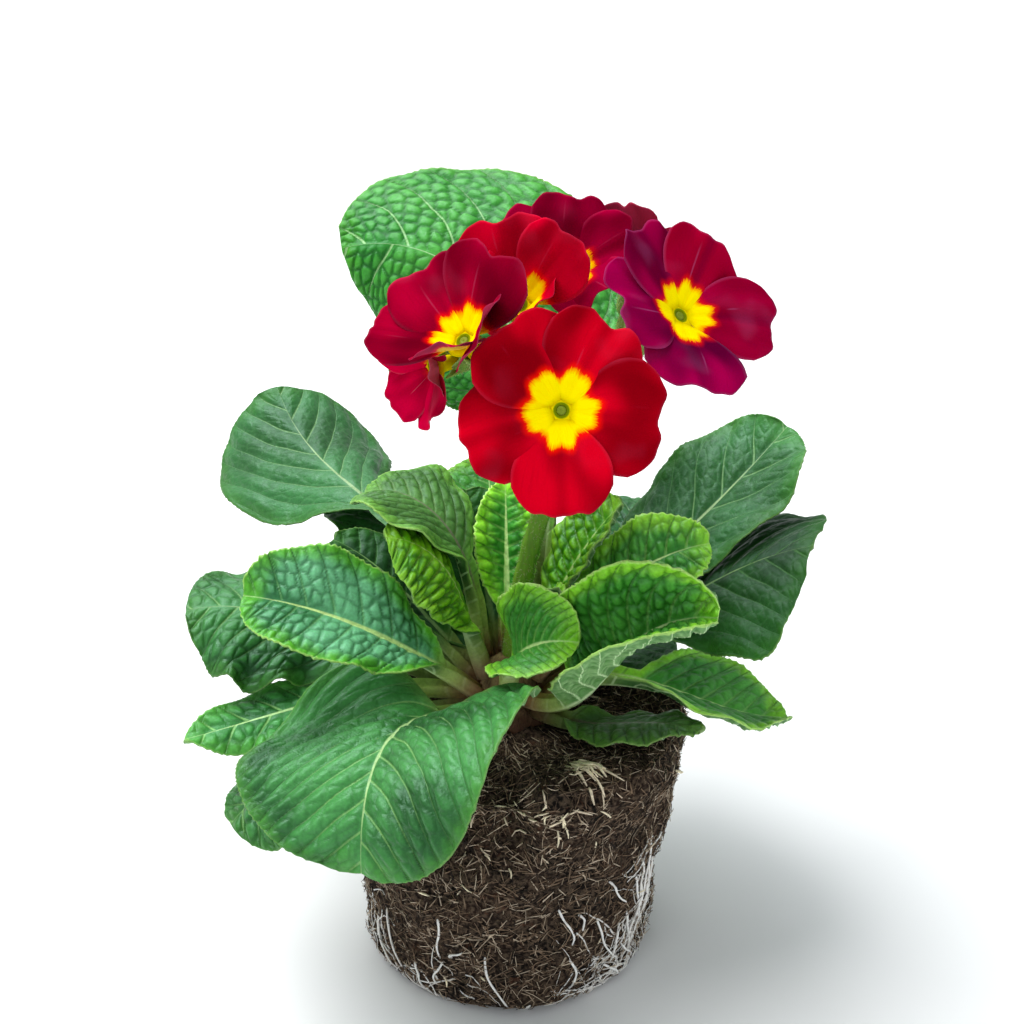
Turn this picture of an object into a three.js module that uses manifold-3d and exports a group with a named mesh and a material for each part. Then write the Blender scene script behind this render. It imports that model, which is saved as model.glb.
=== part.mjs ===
// A primrose lifted out of its nursery pot: a root ball, the crown that stands in it, a rosette of
// crinkled leaves, and one scape whose umbel carries five-petalled flowers, each with its own pedicel,
// calyx and pistil. Millimetres, +Z up. The origin is the middle of the root ball's flat base, and the
// plant's front faces -Y.

import * as THREE from "three";
import { mergeVertices } from "three/addons/utils/BufferGeometryUtils.js";
import Module from "manifold-3d";

const wasm = await Module();
wasm.setup();

const { degToRad: rad, lerp, clamp, smoothstep } = THREE.MathUtils;
const vec = (x, y, z) => new THREE.Vector3(x, y, z);

// ---------- driving dimensions ----------

const gap = 0.3; // running clearance between pieces that touch on the plant

const ball = {
  baseRadius: 33, // flat spot that the plant stands on
  footRadius: 39.4, // above the rounded bottom edge
  rimRadius: 46.2, // a 10.5 cm pot's soil, a little shrunk
  height: 74,
  footHeight: 6,
  sides: 32,
  topDip: 3.5, // the soil sinks towards the crown
  fall: 9, // depth of the hollow where the rim has crumbled away
  lump: 0.7,
  crumb: 0.7,
};

const crown = {
  bottomRadius: 10.5,
  topRadius: 5.5,
  bottom: 61, // the lowest centimetre stands in the soil
  top: 88,
  sides: 14,
};

const blade = {
  thickness: 0.8,
  keel: 0.7, // midrib's extra depth in the blade
  stalkKeel: 2.1, // and in the leaf stalk
  stalkHalfWidth: 2.6,
  stalkFold: 52, // angle of the stalk's channel sides
  seat: 1.9, // where the midrib starts, off the crown
  tooth: 0.045, // margin teeth, as a share of the half width
};

const scape = {
  footRadius: 2.7,
  radius: 2.3,
  headRadius: 4.4,
  sides: 10,
};

const flower = {
  petalThickness: 0.7,
  throatRadius: 2.55,
  tubeRadius: 1.9,
  boreRadius: 1.25,
  tubeLength: 13,
  calyxRadius: 3.1,
  calyxLength: 10,
  pedicelRadius: 1.15,
  styleRadius: 0.45,
  stigmaRadius: 0.85,
};

const colours = {
  soil: 0x3a2417,
  crown: 0xb88f78,
  leaf: 0x2f7a35,
  stem: 0x7f9457,
  calyx: 0x86a05a,
  petal: 0xa80018,
};

// ---------- closed surfaces from rows of points ----------

function geometryOf(points, triangles) {
  const geometry = new THREE.BufferGeometry().setFromPoints(points);
  geometry.setIndex(triangles);
  return geometry;
}

// A plate: two matching grids of points, its face and its back, joined round the rim.
function plate(face, back) {
  const rows = face.length;
  const columns = face[0].length;
  const points = [...face.flat(), ...back.flat()];
  const f = (i, j) => i * columns + j;
  const b = (i, j) => rows * columns + i * columns + j;
  const triangles = [];
  for (let i = 0; i < rows - 1; i++)
    for (let j = 0; j < columns - 1; j++) {
      triangles.push(f(i, j), f(i + 1, j), f(i + 1, j + 1));
      triangles.push(f(i, j), f(i + 1, j + 1), f(i, j + 1));
      triangles.push(b(i, j), b(i + 1, j + 1), b(i + 1, j));
      triangles.push(b(i, j), b(i, j + 1), b(i + 1, j + 1));
    }
  const wall = (p, q) => triangles.push(f(...p), f(...q), b(...q), f(...p), b(...q), b(...p));
  for (let i = 0; i < rows - 1; i++) {
    wall([i + 1, 0], [i, 0]);
    wall([i, columns - 1], [i + 1, columns - 1]);
  }
  for (let j = 0; j < columns - 1; j++) {
    wall([0, j], [0, j + 1]);
    wall([rows - 1, j + 1], [rows - 1, j]);
  }
  return geometryOf(points, triangles);
}

// Rings of points from one end to the other, closed by a fan at each end's middle point.
function ringed(rings, first, last) {
  const sides = rings[0].length;
  const points = [...rings.flat(), first, last];
  const at = (i, j) => i * sides + (j % sides);
  const triangles = [];
  for (let j = 0; j < sides; j++) {
    for (let i = 0; i < rings.length - 1; i++) {
      triangles.push(at(i, j), at(i, j + 1), at(i + 1, j + 1));
      triangles.push(at(i, j), at(i + 1, j + 1), at(i + 1, j));
    }
    triangles.push(points.length - 2, at(0, j + 1), at(0, j));
    triangles.push(points.length - 1, at(rings.length - 1, j), at(rings.length - 1, j + 1));
  }
  return geometryOf(points, triangles);
}

// A round stem along a curve, with a radius for each share of its length.
function stem(curve, radiusAt, steps, sides) {
  const frames = curve.computeFrenetFrames(steps, false);
  const rings = [];
  for (let i = 0; i <= steps; i++) {
    const centre = curve.getPointAt(i / steps);
    const radius = radiusAt(i / steps);
    rings.push(
      Array.from({ length: sides }, (_, j) => {
        const turn = (j / sides) * Math.PI * 2;
        return centre
          .clone()
          .addScaledVector(frames.normals[i], Math.cos(turn) * radius)
          .addScaledVector(frames.binormals[i], Math.sin(turn) * radius);
      }),
    );
  }
  return ringed(rings, curve.getPointAt(0), curve.getPointAt(1));
}

// A profile of [radius, height] turned about +Z, with its shared points merged.
function turned(profile, sides) {
  const lathe = new THREE.LatheGeometry(
    profile.map(([r, z]) => new THREE.Vector2(r, z)),
    sides,
  );
  lathe.rotateX(Math.PI / 2);
  lathe.deleteAttribute("normal");
  lathe.deleteAttribute("uv");
  return mergeVertices(lathe, 1e-4);
}

// ---------- joining ----------

function solidOf(geometry) {
  const bare = new THREE.BufferGeometry();
  bare.setAttribute("position", geometry.getAttribute("position"));
  bare.setIndex(geometry.index);
  const merged = mergeVertices(bare, 1e-4);
  const make = (triVerts) =>
    new wasm.Manifold(
      new wasm.Mesh({
        numProp: 3,
        vertProperties: new Float32Array(merged.attributes.position.array),
        triVerts,
      }),
    );
  const solid = make(new Uint32Array(merged.index.array));
  return solid.volume() > 0 ? solid : make(new Uint32Array(merged.index.array).reverse());
}

function geometryFrom(solid) {
  const mesh = solid.getMesh();
  const geometry = new THREE.BufferGeometry();
  geometry.setAttribute("position", new THREE.BufferAttribute(mesh.vertProperties, 3));
  geometry.setIndex(new THREE.BufferAttribute(mesh.triVerts, 1));
  return geometry;
}

function fused(geometries) {
  const joined = geometries.map(solidOf).reduce((whole, piece) => whole.add(piece)).simplify(0.08);
  const bodies = joined.decompose().sort((p, q) => q.volume() - p.volume());
  return geometryFrom(bodies[0]);
}

const plant = new THREE.Group();

function addPiece(name, geometry, colour, roughness = 0.6) {
  geometry.computeVertexNormals();
  const material = new THREE.MeshStandardMaterial({ color: colour, roughness, metalness: 0 });
  const mesh = new THREE.Mesh(geometry, material);
  mesh.name = name;
  plant.add(mesh);
  return mesh;
}

// ---------- root ball ----------

// Repeatable scatter from 0 to 1.
const scatter = (n) => {
  const s = Math.sin(n * 127.1 + 311.7) * 43758.5453;
  return s - Math.floor(s);
};

// Level direction for an azimuth: 0 points to the front, -Y, and 90 to the right, +X.
const outward = (azimuth) => vec(Math.sin(rad(azimuth)), -Math.cos(rad(azimuth)), 0);

// The same, climbing.
function towards(azimuth, climb) {
  return outward(azimuth)
    .multiplyScalar(Math.cos(rad(climb)))
    .setZ(Math.sin(rad(climb)));
}

// How far soil has fallen away at the front left of the rim, from 0 to 1.
function fallen(azimuth, z) {
  const across = smoothstep(azimuth, -100, -60) * (1 - smoothstep(azimuth, 2, 12));
  return across * smoothstep(z, 42, 67);
}

// Radius of the root ball's side at a height.
function sideRadius(azimuth, z) {
  const taper = lerp(ball.footRadius, ball.rimRadius, (z / ball.height) ** 1.5);
  const foot = clamp(1 - z / ball.footHeight, 0, 1);
  const rounding = (ball.footRadius - ball.baseRadius) * (1 - Math.sqrt(1 - foot * foot));
  const a = rad(azimuth);
  const broad = Math.sin(3 * a + z * 0.09) + 0.7 * Math.sin(5 * a - z * 0.13 + 1);
  const lumps = ball.lump * (broad + 0.5 * Math.sin(8 * a + z * 0.2)) * clamp(z / 8, 0, 1);
  const flare = 3.2 * smoothstep(z, 48, 66) * smoothstep(Math.cos(rad(azimuth - 78)), 0.3, 1);
  const shoulder = 2.5 * smoothstep(z, ball.height - 6, ball.height);
  return taper - rounding + flare - shoulder + lumps - ball.fall * fallen(azimuth, z);
}

function rootBall() {
  const around = Array.from({ length: ball.sides }, (_, j) => (j / ball.sides) * 360 - 180);
  const crumb = (i, j) => (scatter(i * 71 + j) - 0.5) * 2 * ball.crumb;
  const ring = (pointAt) =>
    around.map((azimuth, j) => {
      const [radius, z] = pointAt(azimuth, j);
      return outward(azimuth).multiplyScalar(radius).setZ(z);
    });
  const rings = [ring(() => [ball.baseRadius, 0])];
  [1.6, 5.5, 13, 22, 32, 42, 50, 58, 66, ball.height - 2].forEach((z, i) => {
    rings.push(ring((azimuth, j) => [sideRadius(azimuth, z) + crumb(i, j), z]));
  });

  // The top runs in from the rim to the crown's hole, lower where the rim has crumbled.
  const hole = crown.bottomRadius + gap;
  const topRing = (share, dip, i) =>
    ring((azimuth, j) => {
      const drop = ball.topDip * dip + ball.fall * fallen(azimuth, ball.height) * share;
      return [lerp(hole, sideRadius(azimuth, ball.height), share), ball.height - drop + crumb(i, j)];
    });
  rings.push(topRing(0.85, 0.1, 20), topRing(0.45, 0.7, 21));
  rings.push(ring(() => [hole, ball.height - ball.topDip]));
  rings.push(ring(() => [hole, crown.bottom - gap]));
  const soil = ringed(rings, vec(0, 0, 0), vec(0, 0, crown.bottom - gap));
  return fused([soil, ...roots.map(rootTube)]);
}

// Stout roots that show on the ball's side: azimuth and height where each starts, and how it wanders.
const roots = [
  { azimuth: 62, from: 40, to: 3, drift: 14 },
  { azimuth: 74, from: 33, to: 4, drift: -16 },
  { azimuth: 50, from: 24, to: 2.5, drift: 10 },
  { azimuth: 38, from: 28, to: 9, drift: 7 },
  { azimuth: 24, from: 14, to: 2, drift: 16 },
  { azimuth: 6, from: 16, to: 2, drift: 7 },
  { azimuth: -21, from: 27, to: 12, drift: 3 },
  { azimuth: -32, from: 10, to: 2, drift: -11 },
  { azimuth: -52, from: 20, to: 2.5, drift: 13 },
  { azimuth: 96, from: 36, to: 4, drift: 12 },
  { azimuth: 128, from: 30, to: 3, drift: -18 },
  { azimuth: 162, from: 38, to: 5, drift: 15 },
  { azimuth: -160, from: 28, to: 3, drift: -14 },
  { azimuth: -128, from: 36, to: 4, drift: 17 },
  { azimuth: -96, from: 26, to: 3, drift: -12 },
];

function rootTube(root, index) {
  const steps = 4;
  const points = [];
  for (let i = 0; i <= steps; i++) {
    const t = i / steps;
    const azimuth = root.azimuth + root.drift * t + 3 * Math.sin(t * 6 + index);
    const z = lerp(root.from, root.to, t);
    const sunk = i === 0 || i === steps ? 2.5 : 0.2;
    points.push(outward(azimuth).multiplyScalar(sideRadius(azimuth, z) - sunk).setZ(z));
  }
  return stem(new THREE.CatmullRomCurve3(points), () => 0.9, 5, 4);
}

// ---------- crown ----------

function crownRadius(z) {
  const soilTop = ball.height - ball.topDip;
  return z < soilTop
    ? crown.bottomRadius
    : lerp(crown.bottomRadius, crown.topRadius, (z - soilTop) / (crown.top - soilTop));
}

function crownBody() {
  const heights = [crown.bottom, ball.height - ball.topDip, crown.top];
  return turned([[0, crown.bottom], ...heights.map((z) => [crownRadius(z), z]), [0, crown.top]], crown.sides);
}

// ---------- leaves ----------

// Each leaf: azimuth where it leaves the crown, height there, length of its midrib, half width, climb
// of the midrib at base, middle and tip, turn of its heading from base to tip, roll of the blade, cup
// of its clockwise and its counter-clockwise half, curl across each half, edge wave
// [height, waves, phase], share of stalk, and belly and bluntness of the outline.
const leaves = [
  {
    name: "leaf_01", azimuth: -43, height: 75.5, length: 83, half: 39, climb: [20, 4, -94], turn: 43, roll: 26,
    cup: [15, 6], curl: [-12, -8], wave: [0.8, 3, 0.6], stalk: 0.2, belly: 0.4, blunt: 0.5,
  },
  {
    name: "leaf_02", azimuth: -70, height: 79.5, length: 69, half: 16, climb: [44, 29, 1], turn: -30, roll: -25,
    cup: [28, 17], curl: [2, -8], wave: [0.8, 4, 0], stalk: 0.18, belly: 0.9, blunt: 0.48,
  },
  {
    name: "leaf_03", azimuth: -109, height: 78.5, length: 82, half: 23, climb: [-4, 22, -15], turn: 24, roll: -13,
    cup: [-2, -3], curl: [-23, -33], wave: [2.6, 5, 1], stalk: 0.33, belly: 1, blunt: 0.5,
  },
  {
    name: "leaf_04", azimuth: -90, height: 76.4, length: 77, half: 9, climb: [14, -8, -1], turn: 25, roll: -22,
    cup: [1, 1], curl: [-18, -19], wave: [1.2, 4, 2], stalk: 0.28, belly: 1.1, blunt: 0.75,
  },
  {
    name: "leaf_05", azimuth: -70.3, height: 74.3, length: 73, half: 19, climb: [9, -17, -51], turn: 2, roll: -4,
    cup: [-12, -4], curl: [-14, -14], wave: [1.6, 4, 0], stalk: 0.42, belly: 1, blunt: 0.45,
  },
  {
    name: "leaf_06", azimuth: -126, height: 83, length: 122, half: 28, climb: [79, 9, 33], turn: -32, roll: -19,
    cup: [-20, -4], curl: [-40, -29], wave: [1.4, 4, 1], stalk: 0.46, belly: 1.05, blunt: 0.5,
  },
  {
    name: "leaf_07", azimuth: -111, height: 87, length: 65, half: 19, climb: [84, 61, -35], turn: 1, roll: 3,
    cup: [9, 13], curl: [-16, -10], wave: [0.9, 5, 0], stalk: 0.43, belly: 0.9, blunt: 0.55,
  },
  {
    name: "leaf_08", azimuth: 0, height: 83, length: 39, half: 15, climb: [63, 46, -4], turn: 75, roll: 43,
    cup: [40, 45], curl: [-8, 9], wave: [0.7, 4, 1], stalk: 0.34, belly: 0.8, blunt: 0.5,
  },
  {
    name: "leaf_09", azimuth: 42, height: 78.5, length: 68, half: 21, climb: [9, 53, -4], turn: 34, roll: 42,
    cup: [50, 50], curl: [16, 30], wave: [0.8, 4, 0], stalk: 0.2, belly: 0.85, blunt: 0.5,
  },
  {
    name: "leaf_10", azimuth: 83, height: 84, length: 60, half: 12, climb: [60, 43, 2], turn: 19, roll: 20,
    cup: [10, 23], curl: [-30, -7], wave: [0.7, 4, 1], stalk: 0.21, belly: 0.9, blunt: 0.5,
  },
  {
    name: "leaf_11", azimuth: 114, height: 83, length: 95, half: 21, climb: [35, 34, 39], turn: 9, roll: 11,
    cup: [18, 7], curl: [-3, -15], wave: [1.4, 4, 2], stalk: 0.19, belly: 1, blunt: 0.5,
  },
  {
    name: "leaf_12", azimuth: 102, height: 78.5, length: 83, half: 31, climb: [25, 38, 20], turn: -37, roll: 16,
    cup: [0, -7], curl: [-22, -24], wave: [1.2, 4, 1], stalk: 0.37, belly: 1, blunt: 0.38,
  },
  {
    name: "leaf_13", azimuth: 76, height: 77, length: 68, half: 20, climb: [53, -15, 4], turn: 12, roll: 0,
    cup: [21, 10], curl: [-1, -5], wave: [0.7, 4, 0], stalk: 0.4, belly: 0.9, blunt: 0.8,
  },
  {
    name: "leaf_14", azimuth: 54, height: 74.5, length: 48, half: 11, climb: [-4, 20, -6], turn: 8, roll: -6,
    cup: [6, -4], curl: [-28, -10], wave: [0.8, 4, 2], stalk: 0.18, belly: 0.85, blunt: 0.7,
  },
  {
    name: "leaf_15", azimuth: 148, height: 85.5, length: 152, half: 40, climb: [53, 50, -20], turn: 118, roll: -41,
    cup: [-6, -17], curl: [-19, -41], wave: [1.5, 4, 0], stalk: 0.26, belly: 0.9, blunt: 0.5,
  },
  {
    name: "leaf_16", azimuth: -178, height: 88, length: 44, half: 8, climb: [80, 70, 56], turn: 0, roll: 0,
    cup: [24, 24], curl: [0, 0], wave: [0.7, 5, 0], stalk: 0.22, belly: 0.9, blunt: 0.6,
  },
  {
    name: "leaf_17", azimuth: 104, height: 88, length: 48, half: 12, climb: [74, 62, 44], turn: 0, roll: 0,
    cup: [20, 20], curl: [-4, -4], wave: [0.7, 5, 1], stalk: 0.25, belly: 0.9, blunt: 0.55,
  },
  {
    name: "leaf_18", azimuth: 44, height: 88, length: 30, half: 6, climb: [78, 66, 50], turn: 0, roll: 0,
    cup: [34, 34], curl: [0, 0], wave: [0.5, 4, 0], stalk: 0.2, belly: 0.8, blunt: 0.6,
  },
  {
    name: "leaf_19", azimuth: 148, height: 78, length: 88, half: 19, climb: [26, 16, -20], turn: 0, roll: 6,
    cup: [5, 5], curl: [-16, -16], wave: [1.5, 4, 0], stalk: 0.3, belly: 1, blunt: 0.5,
  },
  {
    name: "leaf_20", azimuth: 172, height: 75.5, length: 84, half: 18, climb: [16, 2, -36], turn: 0, roll: 0,
    cup: [5, 5], curl: [-16, -16], wave: [1.6, 4, 1], stalk: 0.3, belly: 1, blunt: 0.5,
  },
  {
    name: "leaf_21", azimuth: -149, height: 79, length: 84, half: 19, climb: [30, 22, -8], turn: -4, roll: 0,
    cup: [6, 6], curl: [-16, -16], wave: [1.3, 4, 2], stalk: 0.3, belly: 1, blunt: 0.5,
  },
  {
    name: "leaf_22", azimuth: -174, height: 81, length: 66, half: 17, climb: [46, 38, 14], turn: 0, roll: 0,
    cup: [8, 8], curl: [-14, -14], wave: [1, 4, 0], stalk: 0.3, belly: 0.9, blunt: 0.5,
  },
  {
    name: "leaf_23", azimuth: 124, height: 76, length: 80, half: 18, climb: [16, 2, -44], turn: 0, roll: 6,
    cup: [5, 5], curl: [-14, -14], wave: [1.6, 4, 1], stalk: 0.3, belly: 1, blunt: 0.55,
  },
  {
    name: "leaf_24", azimuth: -130, height: 75.8, length: 80, half: 21, climb: [19, 4, -38], turn: 0, roll: -4,
    cup: [5, 5], curl: [-14, -14], wave: [1.4, 4, 0], stalk: 0.3, belly: 1, blunt: 0.55,
  },
  {
    name: "leaf_25", azimuth: -58, height: 86.5, length: 53, half: 15, climb: [72, 68, 6], turn: -20, roll: -22,
    cup: [-10, -4], curl: [-10, -27], wave: [0.8, 5, 0], stalk: 0.24, belly: 0.9, blunt: 0.55,
  },
];

// A smooth run through a value at the start, in the middle and at the end.
function through([base, middle, tip], t) {
  return base * (1 - t) * (1 - 2 * t) + middle * 4 * t * (1 - t) + tip * t * (2 * t - 1);
}

// Points and directions along a leaf's midrib, walked in small steps.
function midrib(leaf) {
  const steps = 120;
  const place = outward(leaf.azimuth)
    .multiplyScalar(crownRadius(leaf.height) + blade.seat)
    .setZ(leaf.height);
  const walk = [];
  for (let i = 0; i <= steps; i++) {
    const t = i / steps;
    const heading = leaf.azimuth + leaf.turn * t;
    const climb = rad(through(leaf.climb, t));
    const ahead = outward(heading).multiplyScalar(Math.cos(climb)).setZ(Math.sin(climb));
    const side = vec(Math.cos(rad(heading)), Math.sin(rad(heading)), 0);
    const up = new THREE.Vector3().crossVectors(ahead, side);
    const roll = rad(leaf.roll * smoothstep(t, 0.05, 0.5));
    walk.push({
      place: place.clone(),
      side: side.clone().multiplyScalar(Math.cos(roll)).addScaledVector(up, Math.sin(roll)),
      up: up.clone().multiplyScalar(Math.cos(roll)).addScaledVector(side, -Math.sin(roll)),
    });
    place.addScaledVector(ahead, leaf.length / steps);
  }
  return (t) => walk[Math.round(t * steps)];
}

function halfWidth(leaf, t) {
  const b = clamp((t - leaf.stalk) / (1 - leaf.stalk), 0, 1);
  const widest = leaf.belly / (leaf.belly + leaf.blunt);
  const most = widest ** leaf.belly * (1 - widest) ** leaf.blunt;
  return blade.stalkHalfWidth * (1 - b) + (leaf.half * b ** leaf.belly * (1 - b) ** leaf.blunt) / most;
}

// A point of the upper surface, and its normal there. v runs from -1 to 1 across the blade.
function bladePoint(leaf, frame, t, v, width) {
  const index = v < 0 ? 0 : 1;
  const spread = smoothstep(t, 0.08, leaf.stalk + 0.2);
  const start = rad(lerp(blade.stalkFold, leaf.cup[index], spread));
  const bend = rad(leaf.curl[index]) * spread;
  const reach = Math.abs(v) * width;
  const end = start + bend * Math.abs(v);
  const chord = Math.abs(bend) < 1e-3 ? 1 : Math.sin((end - start) / 2) / ((end - start) / 2 || 1);
  const across = reach * (v === 0 ? 1 : chord) * Math.cos((start + end) / 2);
  const rise = reach * (v === 0 ? 1 : chord) * Math.sin((start + end) / 2);
  const [height, waves, phase] = leaf.wave;
  const wave = height * v * v * spread * Math.sin(Math.PI * 2 * waves * t + phase + (v < 0 ? 2.2 : 0));
  const hand = v < 0 ? -1 : 1;
  const normal = frame.up
    .clone()
    .multiplyScalar(Math.cos(end))
    .addScaledVector(frame.side, -hand * Math.sin(end));
  if (v === 0) normal.copy(frame.up);
  const place = frame.place
    .clone()
    .addScaledVector(frame.side, hand * across)
    .addScaledVector(frame.up, rise + wave);
  return { place, normal };
}

// How far the stalk's end face slides back along its first heading to lie just off the crown.
function reachBack(leaf, corners) {
  const slope = crownRadius(crown.top - 1) - crownRadius(crown.top);
  const climb = rad(leaf.climb[0]);
  const clear = corners.map((corner) => Math.hypot(corner.x, corner.y) - crownRadius(corner.z));
  const slack = Math.min(...clear) - gap;
  return Math.max(0, slack / (Math.cos(climb) + slope * Math.sin(climb)));
}

function leafBody(leaf) {
  const at = midrib(leaf);
  const across = [-1, -0.5, 0, 0.5, 1];
  const stalkRows = 2;
  const bladeRows = leaf.length > 80 ? 12 : 10;
  const shares = [];
  for (let i = 0; i < stalkRows; i++) shares.push((leaf.stalk * i) / stalkRows);
  for (let i = 0; i <= bladeRows; i++)
    shares.push(lerp(leaf.stalk, 0.992, 1 - (1 - i / bladeRows) ** 1.3));
  const face = [];
  const back = [];
  shares.forEach((share, i) => {
    const t = Math.round(share * 120) / 120;
    const frame = at(t);
    const tooth = i > stalkRows ? 1 + (i % 2 ? 1 : -1) * blade.tooth : 1;
    const width = halfWidth(leaf, share) * tooth;
    const points = across.map((v) => bladePoint(leaf, frame, t, v, width));
    const keel = lerp(blade.stalkKeel, blade.keel, smoothstep(t, leaf.stalk * 0.5, leaf.stalk + 0.35));
    face.push(points.map(({ place }) => place));
    back.push(
      points.map(({ place, normal }, j) =>
        place.clone().addScaledVector(normal, -blade.thickness - (across[j] === 0 ? keel : 0)),
      ),
    );
  });
  const end = [...face[0], ...back[0]];
  const slide = reachBack(leaf, end);
  for (const corner of end) corner.addScaledVector(towards(leaf.azimuth, leaf.climb[0]), -slide);
  return plate(face, back);
}

// ---------- scape and flowers ----------

const scapeCurve = new THREE.CubicBezierCurve3(
  vec(1, 1.5, crown.top + gap),
  vec(2, 2, 109),
  vec(9, 3, 131),
  vec(15, 2, 149),
);

function scapeBody() {
  const head = new THREE.IcosahedronGeometry(scape.headRadius, 1);
  head.translate(...scapeCurve.getPoint(1).toArray());
  const stalk = stem(scapeCurve, (t) => lerp(scape.footRadius, scape.radius, t), 9, scape.sides);
  return fused([stalk, mergeVertices(head)]);
}

// Each flower: where its eye is, azimuth and climb of the way it faces, petal length, azimuth and climb
// at which its pedicel leaves the scape, and its petals. Each petal: its angle about the eye, its lift at
// the throat and at the tip, and where they differ from the usual, its twist, half width as a share of
// the petal length, reach, and depth of its notch.
const flowers = [
  {
    name: "flower_1", eye: [12.5, -32, 171], faces: [-3, 26], size: 25.5, leaves: [-8, 12],
    petals: [
      { at: -88, lift: [24, 4], width: 0.47, reach: 1.03, notch: 0 },
      { at: -6, lift: [22, 2], width: 0.54, reach: 0.99, notch: 0.05 },
      { at: 62, lift: [24, -6], twist: 9 },
      { at: 127, lift: [28, 6], twist: 9, width: 0.52, notch: 0.04 },
      { at: 200, lift: [20, -16], twist: 4, notch: 0.02 },
    ],
  },
  {
    name: "flower_2", eye: [-10.6, -17.4, 183], faces: [-42, 46], size: 25, leaves: [-58, 30],
    petals: [
      { at: 0, lift: [46, 48], twist: 4, width: 0.42, reach: 0.84 },
      { at: 78, lift: [36, 28], width: 0.52, notch: 0.1 },
      { at: 146, lift: [26, 4], notch: 0.06 },
      { at: 196, lift: [24, 10], twist: 4, width: 0.36, notch: 0.02 },
      { at: 294, lift: [64, 60], twist: 4, width: 0.42, reach: 0.55 },
    ],
  },
  {
    name: "flower_3", eye: [-18.5, -5, 171.5], faces: [-50, 0], size: 16.5, leaves: [-92, -2],
    petals: [
      { at: -54, lift: [42, 24] },
      { at: 18, lift: [50, 40], reach: 0.8 },
      { at: 90, lift: [60, 56], reach: 0.5 },
      { at: 156, lift: [42, 24], width: 0.44 },
      { at: 234, lift: [42, 24] },
    ],
  },
  {
    name: "flower_4", eye: [2.9, -3, 187], faces: [-10, 40], size: 23, leaves: [-30, 78],
    petals: [
      { at: 46, lift: [44, 40], width: 0.46, reach: 1.06, notch: 0.02 },
      { at: 108, lift: [30, 14], width: 0.54 },
      { at: 176, lift: [58, 60], reach: 0.62 },
      { at: 250, lift: [66, 50], twist: 4, width: 0.36, reach: 0.42 },
      { at: 322, lift: [62, 62], width: 0.4, reach: 0.62 },
    ],
  },
  {
    name: "flower_5", eye: [14.5, 17, 188.5], faces: [2, 46], size: 22, leaves: [178, 66],
    petals: [
      { at: 20, lift: [34, 10], notch: 0.1 },
      { at: 82, lift: [30, 6], notch: 0.12 },
      { at: 148, lift: [32, 8], width: 0.52, notch: 0.03 },
      { at: 226, lift: [40, 20], reach: 0.7 },
      { at: 312, lift: [40, 20], reach: 0.7 },
    ],
  },
  {
    name: "flower_6", eye: [41.6, -8, 186], faces: [46, 44], size: 25, leaves: [58, 24],
    petals: [
      { at: -26, lift: [24, -4], twist: 14, width: 0.44, reach: 1.1, notch: 0.04 },
      { at: 38, lift: [26, 6], notch: 0.06 },
      { at: 94, lift: [26, 0], notch: 0.05 },
      { at: 158, lift: [26, -6], width: 0.52, notch: 0.16 },
      { at: 238, lift: [24, 0], twist: 6, width: 0.54, notch: 0.02 },
    ],
  },
  {
    name: "flower_7", eye: [34.5, 29, 187], faces: [150, 50], size: 19, leaves: [126, 28],
    petals: [
      { at: 0, lift: [42, 36] },
      { at: 72, lift: [44, 36] },
      { at: 144, lift: [30, 10] },
      { at: 216, lift: [26, 2] },
      { at: 288, lift: [30, 10] },
    ],
  },
];

// Length along and height off a line that starts at one angle and bends evenly to another.
function bent(from, to, length) {
  const start = rad(from);
  const turn = rad(to - from);
  const chord = Math.abs(turn) < 1e-4 ? length : (length * Math.sin(turn / 2)) / (turn / 2);
  return [chord * Math.cos(start + turn / 2), chord * Math.sin(start + turn / 2)];
}

// A notched petal with its claw at the throat.
function petalBody(bloom, k) {
  const { at, lift, twist = 8, width = 0.48, reach = 1, notch = 0.08 } = bloom.petals[k];
  const [low, high] = lift;
  const angle = rad(at);
  const along = vec(Math.cos(angle), Math.sin(angle), 0);
  const aside = vec(-Math.sin(angle), Math.cos(angle), 0);
  const face = [];
  const back = [];
  for (const b of [0, 0.3, 0.66, 1]) {
    const frontRow = [];
    const backRow = [];
    for (const a of [-1, -0.6, 0, 0.6, 1]) {
      const edge = 1 - notch * Math.exp(-((a / 0.3) ** 2)) - 0.3 * Math.abs(a) ** 4;
      const length = (bloom.size * reach - flower.throatRadius) * edge * b;
      const half = lerp(1.4, bloom.size * width, Math.sin((Math.min(b / 0.85, 1) * Math.PI) / 2) ** 0.85);
      const y = a * half;
      const tilt = rad(twist) * Math.sqrt(b);
      const [out, up] = bent(low, lerp(low, high, b * edge), length);
      const lean = rad(lerp(low, high, b));
      const ruffle = 0.9 * b * b * Math.sin(a * 5 + k * 2.1);
      const off = y * Math.sin(tilt) + ruffle;
      const point = along
        .clone()
        .multiplyScalar(flower.throatRadius - 0.5 + out - off * Math.sin(lean))
        .addScaledVector(aside, y * Math.cos(tilt))
        .setZ(up + off * Math.cos(lean));
      frontRow.push(point);
      backRow.push(
        point
          .clone()
          .addScaledVector(along, Math.sin(lean) * flower.petalThickness)
          .setZ(point.z - Math.cos(lean) * flower.petalThickness),
      );
    }
    face.push(frontRow);
    back.push(backRow);
  }
  return plate(face, back);
}

function corollaBody(bloom) {
  const { throatRadius, tubeRadius, boreRadius, tubeLength } = flower;
  const tube = turned(
    [
      [throatRadius + 0.5, 0.1],
      [boreRadius, -1.6],
      [boreRadius, -tubeLength],
      [tubeRadius, -tubeLength],
      [tubeRadius, -3],
      [throatRadius + 0.8, -0.9],
      [throatRadius + 0.5, 0.1],
    ],
    8,
  );
  return fused([tube, ...bloom.petals.map((_, k) => petalBody(bloom, k))]);
}

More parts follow.
